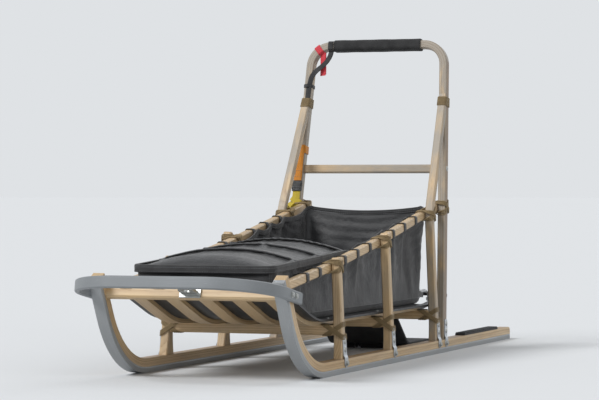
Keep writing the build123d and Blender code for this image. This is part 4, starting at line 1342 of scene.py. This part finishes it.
class SLED_OT_grip(SledPiece, bpy.types.Operator):
    """Slip the foam sleeve over the top of the driving bow."""

    bl_idname = "sled.grip"
    bl_label = "Foam grip"

    def execute(self, context):
        base = context.scene.sled_plastic.foam
        foam = moulded_rubber("foam_closed_cell", base, pore=1.8 * MM, roughness=0.85)
        half = GRIP_END - 0.5 * MM
        # Distance from an end and how much of the wall is rounded off there
        ends = [(half - at * MM, cut) for at, cut in ((0.0, 0.30), (0.6, 0.12), (2.2, 0.03), (5.0, 0.0))]
        places = [(-x, cut) for x, cut in ends]
        places += [(x, 0.0) for x in np.linspace(-half + 9 * MM, half - 9 * MM, 40)]
        places += ends[::-1]
        sections = []
        for x, cut in places:
            dent = 0.35 * MM * sin(x * 95.0) + 0.3 * MM * sin(x * 41.0 + 1.3)
            grow = 2 * GRIP_WALL - GRIP_WALL * cut + dent - 0.4 * MM
            sections.append((x, rounded_box(BOW_DEPTH + grow, BOW_THICKNESS + grow, 13 * MM, 6)))
        bore = rounded_box(BOW_DEPTH + 0.6 * MM, BOW_THICKNESS + 0.6 * MM, 3 * MM, 6)
        _, centre_y, centre_z = middle("hand_grip")
        points = np.array([
            section[:, :1] * BOW_FRONT + section[:, 1:] * BOW_UP + np.array((x, centre_y, centre_z))
            for x, section in ((-half, bore), *sections, (half, bore))
        ])[:, ::-1]
        faces = ring_faces(*points.shape[:2])[:-2]
        sleeve = [(points.reshape(-1, 3), faces, blank_uvs(faces))]
        grip = build("hand_grip_foam", sleeve, foam)
        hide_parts("hand_grip")
        return {"FINISHED"}


class SLED_OT_leg_strap(SledPiece, bpy.types.Operator):
    """Hang the amber strap, the buckle and the yellow strap on the front of the right leg."""

    bl_idname = "sled.leg_strap"
    bl_label = "Leg strap"

    def execute(self, context):
        fabric = context.scene.sled_fabric
        low, high = (corner.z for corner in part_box("strap_buckle"))
        self.amber(fabric, high)
        self.buckle(context.scene.sled_plastic, low, high)
        self.yellow(fabric, low)
        return {"FINISHED"}

    def amber(self, fabric, buckle_high):
        """Amber strap from the leg down into the buckle, with its sewn-down end."""
        size = fabric.strap_width, fabric.strap_thickness
        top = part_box("strap_upper")[1].z
        flat = strap_section(*size)
        drop = on_leg(top, (-2, 3.0), (-20, 3.4), (-50, 5.4)) + on_leg(buckle_high, (26, 3.4), (-4, 3.6))
        fold = on_leg(buckle_high, (34, 6.4), (16, 6.8), (-2, 6.6))
        parts = [
            wrap(["driving_bow"], leg_point(top - 16 * MM), BOW_UP, SNUG, band_section(*size)),
            strap(drop, flat, ACROSS),
            strap(fold, flat, ACROSS),
        ]
        piece = build("leg_strap_amber", parts, dyed_webbing("amber"), sharp=50)
        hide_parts("strap_upper")
        edges, pitch = (-8.5 * MM * ACROSS, 8.5 * MM * ACROSS), 3.4 * MM
        lines = stitches(np.array(on_leg(buckle_high, (31, 7.9), (12, 8.1))), edges, pitch, THREAD)
        for row in on_leg(buckle_high, (12, 8.0), (31, 8.0)):
            lines += stitches(row + np.array(edges), (0.0,), pitch, THREAD)
        build("leg_strap_stitches", lines, seam_thread())

    def buckle(self, plastic, low, high):
        """Side-release buckle: a hollow-sided body, two prongs and a bar that the strap runs round."""
        acetal = moulded_rubber("acetal_moulded", plastic.buckle, pore=3 * MM, roughness=0.35)
        centre = leg_point((low + high) / 2, LEG_FRONT + 5.4 * MM)
        half, long_half = 17 * MM, (high - low) / cos(BOW_LEAN) / 2
        size = np.array((half, long_half))
        # Outlines in shares of half the buckle's width and half its height
        right_side = np.array((
            (0.92, 1.0), (1.0, 0.86), (1.0, 0.34), (0.70, 0.22),
            (0.70, -0.20), (0.94, -0.30), (0.94, -0.42), (0.80, -0.48),
        ))
        body = np.concatenate([right_side, right_side[::-1] * (-1, 1)])
        prong = np.array(((-0.2, 0.4), (-0.2, -1.0), (0.14, -1.0), (0.2, -0.2), (0.3, 0.12), (0.12, 0.4)))
        plug = np.array((
            (-0.9, -0.50), (-0.9, -0.92), (-0.82, -1.0), (0.82, -1.0), (0.9, -0.92), (0.9, -0.50),
        ))
        shape = partial(plate, centre=centre, side=ACROSS, up=BOW_UP)
        parts = [shape(body * size, 10 * MM, bevel=1.4 * MM), shape(plug * size, 7 * MM, bevel=1.2 * MM)]
        for side in SIDES:
            outline = prong * (side * half, long_half) + (side * half * 0.78, 0.0)
            parts.append(shape(outline[::side], 5.5 * MM, bevel=0.8 * MM))
        reach = ACROSS * half * 0.8
        for height in (0.62, -0.78):
            spot = centre + BOW_UP * long_half * height + BOW_FRONT * 3.2 * MM
            parts.append(sweep((spot - reach, spot + reach), circle(2.0 * MM, 8), BOW_UP))
        piece = build("leg_strap_buckle", parts, acetal, sharp=30)
        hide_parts("strap_buckle")

    def yellow(self, fabric, buckle_low):
        """Yellow strap below the buckle, wound once round the leg, with a free end."""
        width, thickness = fabric.strap_width, fabric.strap_thickness
        flat, band = strap_section(width, thickness), band_section(width * 0.9, thickness)
        strap_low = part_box("strap_lower")[0].z
        run = on_leg(buckle_low, (4, 4.4), (-10, 4.8), (-24, 3.4)) + on_leg(strap_low, (6, 2.4))
        parts = [strap(run, flat, ACROSS, 4 * MM)]
        over = unit(BOW_UP * cos(radians(38)) + ACROSS * sin(radians(38)))
        under = unit(BOW_UP * 0.93 + ACROSS * 0.36)
        for height, axis, lift in ((16 * MM, over, 2.9 * MM), (-1 * MM, under, 0.5 * MM)):
            parts.append(wrap(["driving_bow"], leg_point(strap_low + height), axis, lift, band))
        start = leg_point(strap_low + 12 * MM, LEG_FRONT + 1.8 * MM) - ACROSS * 8 * MM
        tail = near(start, (0, 0, 0), (-16, -14, 2), (-20, -38, 0), (-17, -66, 0))
        parts.append(strap(tail, flat, unit(ACROSS + 0.5 * BOW_FRONT), 4 * MM))
        piece = build("leg_strap_yellow", parts, dyed_webbing("yellow"), sharp=50)
        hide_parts("strap_lower")


class SLED_OT_bar_straps(SledPiece, bpy.types.Operator):
    """Tie the black strap and the red tab at the right end of the handlebar."""

    bl_idname = "sled.bar_straps"
    bl_label = "Handlebar straps"

    def execute(self, context):
        self.black()
        self.red()
        return {"FINISHED"}

    def black(self):
        """Black strap looped over the bar, down the leg under two keepers."""
        x = -(GRIP_END + 11 * MM)
        bar_level = BOW_TOP - BOW_THICKNESS / 2
        under = bar_level - BOW_THICKNESS / 2
        front = BOW_DEPTH / 2 + 1.6 * MM
        size = (17 * MM, 2.0 * MM)
        leg_x = -bow_x(BOW_TOP - 150 * MM)
        hang = near(bow_point(x, under), (0, 2, 4), (-1, -18, 7), (-14, -46, 14))
        hang += near(bow_point(leg_x, under, front), (18, -78, 5), (7, -108, 1), (3, -150, 1), (1, -205, 2.5))
        parts = [
            wrap(["driving_bow"], bow_point(x, bar_level), ACROSS, SNUG, band_section(*size), 40 * MM),
            strap(hang, strap_section(*size), ACROSS),
        ]
        keeper = band_section(11 * MM, 1.6 * MM)
        for level in (under - 118 * MM, under - 176 * MM):
            over = bow_point(-bow_x(level), level, front + 4.5 * MM)
            parts.append(wrap(["driving_bow"], bow_point(-bow_x(level), level), BOW_UP, 0.5 * MM, keeper,
                              60 * MM, [over]))
        build("handlebar_strap_black", parts, dyed_webbing("black"), sharp=50)

    def red(self):
        """Red tab on the bow's corner, with two tails that hang inside it."""
        turn = radians(38)
        size = (20 * MM, 2.0 * MM)
        # The corner turns about this point
        centre_x, centre_level = bow_x(BOW_TOP) + BOW_THICKNESS / 2 - BOW_CORNER, BOW_TOP - BOW_CORNER

        def on_corner(radius):
            """A place on the corner, at a distance from the point that it turns about."""
            return bow_point(-(centre_x + radius * sin(turn)), centre_level + radius * cos(turn))

        axis = unit(ACROSS * cos(turn) + BOW_UP * sin(turn))
        parts = [wrap(["driving_bow"], on_corner(BOW_CORNER - BOW_THICKNESS / 2), axis, SNUG,
                      band_section(*size), 34 * MM)]
        hook = on_corner(BOW_CORNER - BOW_THICKNESS) + ACROSS * 3 * MM
        for forward, reach in ((7, 74), (2, 70)):
            start = hook + (BOW_FRONT * forward + BOW_UP * 2) * MM
            tail = near(start, (0, 0, 0), (1, -24, 0), (3, -52, 0), (4, -reach, 1.5))
            parts.append(strap(tail, strap_section(*size), unit(ACROSS + 0.25 * BOW_FRONT)))
        build("handlebar_tab_red", parts, dyed_webbing("red"), sharp=50)


class SLED_OT_lashings(SledPiece, bpy.types.Operator):
    """Lash the rails to the uprights and the bow, the crossbars to the uprights and the braces to the bow."""

    bl_idname = "sled.lashings"
    bl_label = "Lashings"

    def execute(self, context):
        cord = context.scene.sled_cord
        material = twisted_cord("waxed_nylon_laid_cord")
        for side, word in BOTH:
            rail, rail_loops, bar_loops = f"side_rail_{word}", [], []
            for place, y in UPRIGHT_Y.items():
                upright = f"upright_{place}_{word}"
                rail_loops += self.wind(cord, [upright, rail], self.crossing(rail, side, y), 48 * MM)
                bar_loops += self.wind(cord, [upright, f"crossbar_{place}"], self.corner(side, y), 60 * MM)
            leg_y = BOW_FOOT_Y + RAIL_END * tan(BOW_LEAN)
            rail_loops += self.wind(cord, ["driving_bow", rail], self.crossing(rail, side, leg_y), 48 * MM)
            for step in range(BRACE_LASHING_TURNS):
                level = BRACE_LASHING + step * cord.diameter * CORD_PITCH
                centre = bow_point(side * bow_x(level), level, 12 * MM)
                joint = ["driving_bow", f"upright_rear_{word}"]
                rail_loops.append(self.turn(cord, joint, centre, BOW_UP, 60 * MM))
            build(f"rail_lashings_{word}", rail_loops, material)
            build(f"crossbar_lashings_{word}", bar_loops, material)
        return {"FINISHED"}

    def turn(self, cord, names, centre, axis, reach, layer=0):
        """One turn of cord round a joint, over the layers under it."""
        lift = cord.diameter / 2 + CORD_SNUG + layer * cord.diameter * 0.7
        return wrap(names, centre, axis, lift, circle(cord.diameter / 2, 7), reach)

    def wind(self, cord, names, layers, reach):
        """Turns side by side round a joint, in layers that each have a centre and an axis."""
        loops = []
        for layer, (centre, axis) in enumerate(layers):
            for step in range(cord.turns):
                shift = (step - (cord.turns - 1) / 2) * cord.diameter * CORD_PITCH
                loops.append(self.turn(cord, names, centre + axis * shift, axis, reach, layer))
        return loops

    def crossing(self, rail, side, y):
        """Layers of turns both ways over the crossing of an upright and a rail."""
        centre = cross_section(rail, y).mean(axis=0) + side * 12 * MM * ACROSS
        return [(centre, np.array((0.0, -sin(slant), cos(slant)))) for slant in (radians(40), radians(-40))]

    def corner(self, side, y):
        """Layers of turns both ways over the joint of an upright and the end of a crossbar."""
        layers = []
        for slant in SIDES:
            outer = np.array((side * (RUNNER_X + 8 * MM), y, BAR_HEIGHT + slant * 15 * MM))
            inner = np.array((side * (RUNNER_X - 36 * MM), y, BAR_HEIGHT - slant * 13 * MM))
            layers.append(((outer + inner) / 2, unit(np.cross(outer - inner, BACK))))
        return layers


def hex_bolt(metals, centre, axis):
    """Washer and hexagon head on a surface."""
    washer, head = metals.washer_radius, metals.bolt_radius
    return [
        lathe(((washer, -0.3 * MM), (washer, 1.2 * MM), (washer * 0.9, 1.5 * MM)), centre, axis, 20),
        lathe(((head, 1.4 * MM), (head, 4.6 * MM), (head * 0.86, 5.6 * MM)), centre, axis, 6),
    ]


def nut(metals, centre, axis):
    """Washer, nut and the end of its bolt."""
    head = metals.bolt_radius
    return hex_bolt(metals, centre, axis) + [
        lathe(((head * 0.55, 5.0 * MM), (head * 0.55, 7.6 * MM), (head * 0.42, 8.4 * MM)), centre, axis, 12),
    ]


def dome_bolt(metals, centre, axis):
    """Low domed head of a carriage bolt."""
    radius, height = metals.washer_radius, 3.4 * MM
    profile = [(radius * cos(turn), height * sin(turn) - 0.2 * MM) for turn in (0.0, 0.35, 0.75, 1.1, 1.4)]
    return [lathe(profile, centre, axis, 20)]


def pan_screw(metals, centre, axis):
    """Pan head with a sunk middle for its drive."""
    radius = metals.screw_radius
    profile = (
        (radius, -0.2 * MM), (radius, 0.9 * MM), (radius * 0.82, 1.8 * MM), (radius * 0.45, 2.1 * MM),
        (radius * 0.36, 1.2 * MM),
    )
    return [lathe(profile, centre, axis, 14)]


def fasten(head, node, start, direction, square=True):
    """A fastener where a ray first meets a node, square to the surface or in line with the ray."""
    spot, normal = surface_point(node, start, direction)
    return head(bpy.context.scene.sled_metal, spot, normal if square else -direction)


class SLED_OT_brackets(SledPiece, bpy.types.Operator):
    """Finish the aluminium brackets at the feet and bolt them on."""

    bl_idname = "sled.brackets"
    bl_label = "Foot brackets"

    def execute(self, context):
        metals = context.scene.sled_metal
        # Pale satin strip with the marks of the rolls
        strip = metal("aluminium_rolled_strip", metals.aluminium, metals.bare, roughness=0.36,
                      streak=1.4 * MM, wear_share=0.4)
        finish(["foot_brackets"], strip, 0.5 * MM)
        feet = [(y, 0.0) for y in UPRIGHT_Y.values()] + [(BOW_FOOT_Y, BOW_LEAN)]
        bolts = []
        for side in SIDES:
            for y, lean in feet:
                for height, head in ((-12 * MM, hex_bolt), (26 * MM, dome_bolt), (48 * MM, dome_bolt)):
                    start = (side * 0.5, y + height * tan(lean), RUNNER_TOP + height)
                    bolts += fasten(head, "foot_brackets", start, -side * ACROSS)
        build("foot_bracket_bolts", bolts, zinc_steel(), sharp=40)
        return {"FINISHED"}


class SLED_OT_fasteners(SledPiece, bpy.types.Operator):
    """Set the bolts and screws of the nose, the bow's cross piece, the bed, pads, hinge, brake and mat."""

    bl_idname = "sled.fasteners"
    bl_label = "Bolts and screws"

    def execute(self, context):
        # Each ray starts clear of its node
        nose, bed, pads, rear = [], [], [], []
        nose_bar = middle("crossbar_nose")
        for side, word in BOTH:
            inward = -side * ACROSS
            for back in (28 * MM, 56 * MM):
                start = (side * 0.5, SHOE_FRONT + back, nose_bar[2] + (56 * MM - back) * tan(BRUSH_PITCH))
                nose += fasten(hex_bolt, "brush_bow", start, inward, square=False)
            for y in (*UPRIGHT_Y.values(), nose_bar[1] + 4 * MM):
                bed += fasten(pan_screw, "bed_sheet", (side * BED_SCREW_X, y, 0.5), -UP)
            pad_low, pad_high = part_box(f"foot_pad_{word}")
            pitch = (pad_high.y - pad_low.y) / PAD_RIBS
            for groove in (1, 8, 15):
                start = (side * RUNNER_X, pad_low.y + groove * pitch, 0.2)
                pads += fasten(pan_screw, f"foot_pad_{word}", start, -UP)
            start = bow_point(side * (bow_x(BOW_BAR_LEVEL) + 0.1), BOW_BAR_LEVEL)
            nose += fasten(dome_bolt, "driving_bow", start, inward, square=False)
            for shift in (-15 * MM, 15 * MM):
                start = (side * EAR_BASE_X + shift, HINGE[1] + 0.1, HINGE[2])
                rear += fasten(hex_bolt, "hinge_ears", start, -BACK)
        tread, bar = self.moving()
        for name, parts, body in (
            ("frame_bolts", nose, "sled"), ("bed_screws", bed, "sled"),
            ("foot_pad_screws", pads, "sled"), ("hinge_bolts", rear, "sled"),
            ("brake_bolts", tread, "claw_brake"), ("mat_bolts", bar, "drag_mat"),
        ):
            build(name, parts, zinc_steel(), sharp=40, body=body)
        return {"FINISHED"}

    def moving(self):
        """Bolts on the brake's tread and claws, and on the mat's bar."""
        tread, bar = [], []
        _, tread_y, tread_z = middle("brake_tread")
        for side in SIDES:
            tread += fasten(pan_screw, "brake_tread", (side * 56 * MM, tread_y, 0.4), -UP)
            for inner in SIDES:
                start = (side * CLAW_X + inner * 0.05, tread_y - 1 * MM, tread_z - 18 * MM)
                head = nut if inner == side else hex_bolt
                tread += fasten(head, "brake_claws", start, -inner * ACROSS, square=False)
        down = np.array((0.0, -sin(MAT_SLOPE), -cos(MAT_SLOPE)))
        behind = np.array((0.0, cos(MAT_SLOPE), -sin(MAT_SLOPE))) * MAT_BOLT_REACH
        for x in (-100, -50, 0, 50, 100):
            start = HINGE + behind + ACROSS * x * MM - down * 60 * MM
            bar += fasten(hex_bolt, "mat_bar", start, down, square=False)
        return tread, bar


class SLED_OT_springs(SledPiece, bpy.types.Operator):
    """Wind the two return springs of the claw brake round the hinge rod."""

    bl_idname = "sled.springs"
    bl_label = "Return springs"

    def execute(self, context):
        metals = context.scene.sled_metal
        # Dark oiled wire, rubbed paler on its outside
        steel = metal("spring_steel_oiled", metals.spring, metals.spring_edge, roughness=0.3,
                      streak=1.0 * MM, wear_share=0.5)
        wire, turns, steps_in_a_turn = metals.wire, 6, 18
        inner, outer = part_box("mat_bar")[1].x + 1.5 * MM, SPRING_END
        coil = ROD_HIGH.z - HINGE[2] - COLLAR_WALL + wire
        share = np.linspace(0, 1, turns * steps_in_a_turn + 1)
        turn = 2 * pi * turns * share
        for side, word in BOTH:
            path = np.column_stack([
                side * (inner + wire / 2 + share * (outer - inner - wire)),
                HINGE[1] + coil * np.sin(turn),
                HINGE[2] - coil * np.cos(turn),
            ])
            lead_in = path[0] + MM * np.array(((0, -26, 1), (0, -10, 0)))
            lead_out = path[-1] + MM * np.array((
                (side * 4, 16, 0.5), (side * 14, 34, 2.4), (side * 22, 46, 3.4),
            ))
            whole = np.vstack([lead_in, path, lead_out])
            spring = build(f"return_spring_{word}", [sweep(whole, circle(wire / 2, 8), ACROSS)],
                           steel)
            spring.parent = None
            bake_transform(spring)
        return {"FINISHED"}


class SLED_OT_stage(SledPiece, bpy.types.Operator):
    """Set the pale floor, the soft lamps and the camera."""

    bl_idname = "sled.stage"
    bl_label = "Floor, light and camera"

    def execute(self, context):
        scene = context.scene
        self.floor(scene)
        self.world(scene)
        self.lamps(scene)
        self.camera(scene)
        scene.view_settings.view_transform = "Standard"
        return {"FINISHED"}

    def floor(self, scene):
        """A wide disc under the sled, in pale matt paint."""
        bm = bmesh.new()
        bmesh.ops.create_circle(bm, cap_ends=True, radius=90.0, segments=96)
        mesh = bpy.data.meshes.new("floor")
        bm.to_mesh(mesh)
        bm.free()
        material, add = new_material("painted_floor")
        close_material(add, scene.sled_stage.floor, 0.9, Specular_IOR_Level=0.0)
        mesh.materials.append(material)
        floor = bpy.data.objects.new("floor", mesh)
        scene.collection.objects.link(floor)

    def world(self, scene):
        """Even light from all round, with the backdrop's colour where the camera or a reflection sees it."""
        world = bpy.data.worlds.new("studio")
        world.use_nodes = True
        world.node_tree.nodes.clear()
        add = partial(add_node, world.node_tree)
        path = add("LightPath").outputs
        seen = add("Math", path["Is Camera Ray"], path["Is Transmission Ray"], operation="MAXIMUM")
        seen = add("Math", seen, path["Is Glossy Ray"], operation="MAXIMUM")
        ambient = add("Background", (1.0, 1.0, 1.0, 1.0), scene.sled_stage.sky)
        backdrop = add("Background", scene.sled_stage.backdrop, 1.0)
        add("OutputWorld", add("MixShader", seen, ambient, backdrop))
        scene.world = world

    def lamps(self, scene):
        """Three broad suns, which light the whole floor evenly: a key from the front left and two fills."""
        stage = scene.sled_stage
        for name, place, power, spread in (
            ("key", (-2.6, -3.4, 3.6), stage.key, 24),
            ("fill", (3.6, -2.2, 2.0), stage.fill, 40),
            ("rear", (1.2, 3.6, 3.0), stage.fill, 40),
        ):
            data = bpy.data.lights.new(name, "SUN")
            data.energy = power
            data.angle = radians(spread)
            self.put(scene, name, data, Vector(place), Vector(place), "Z")

    def camera(self, scene):
        """A long lens at the photograph's angle."""
        stage = scene.sled_stage
        data = bpy.data.cameras.new("camera")
        data.lens = stage.lens
        data.clip_end = 300.0
        turn, away, aside = stage.camera_turn, stage.camera_distance, -45 * MM
        place = Vector((sin(turn) * away, -cos(turn) * away, stage.camera_height))
        aim = Vector((aside, 0.0, stage.aim_height))
        scene.camera = self.put(scene, "camera", data, place, aim - place, "-Z")

    def put(self, scene, name, data, place, direction, axis):
        """Stand a lamp or a camera at a place, with one of its axes in a direction."""
        thing = bpy.data.objects.new(name, data)
        thing.location = place
        thing.rotation_mode = "QUATERNION"
        thing.rotation_quaternion = direction.to_track_quat(axis, "Y")
        scene.collection.objects.link(thing)
        return thing


OPERATORS = (
    SLED_OT_ash, SLED_OT_plastic, SLED_OT_rubber, SLED_OT_metal, SLED_OT_bag, SLED_OT_cover,
    SLED_OT_hangers, SLED_OT_grip, SLED_OT_leg_strap, SLED_OT_bar_straps, SLED_OT_lashings,
    SLED_OT_brackets, SLED_OT_fasteners, SLED_OT_springs, SLED_OT_stage,
)


class SLED_PT_pieces(bpy.types.Panel):
    """Lists the pieces of the sled and their sizes and colours."""

    bl_idname = "SLED_PT_pieces"
    bl_label = "Dog sled"
    bl_space_type = "VIEW_3D"
    bl_region_type = "UI"
    bl_category = "Sled"

    def draw(self, context):
        layout = self.layout
        for operator in OPERATORS:
            layout.operator(operator.bl_idname)
        for name, group in SETTINGS.items():
            box = layout.box()
            box.label(text=group.__doc__)
            for key in group.__annotations__:
                box.prop(getattr(context.scene, name), key)


CLASSES = (*SETTINGS.values(), *OPERATORS, SLED_PT_pieces)


def register():
    for item in CLASSES:
        bpy.utils.register_class(item)
    for name, group in SETTINGS.items():
        setattr(bpy.types.Scene, name, PointerProperty(type=group))


def unregister():
    for name in SETTINGS:
        delattr(bpy.types.Scene, name)
    for item in reversed(CLASSES):
        bpy.utils.unregister_class(item)


def main():
    """Register, and dress the frame piece by piece."""
    register()
    for operator in OPERATORS:
        group, name = operator.bl_idname.split(".")
        getattr(getattr(bpy.ops, group), name)()


if __name__ == "__main__":
    main()
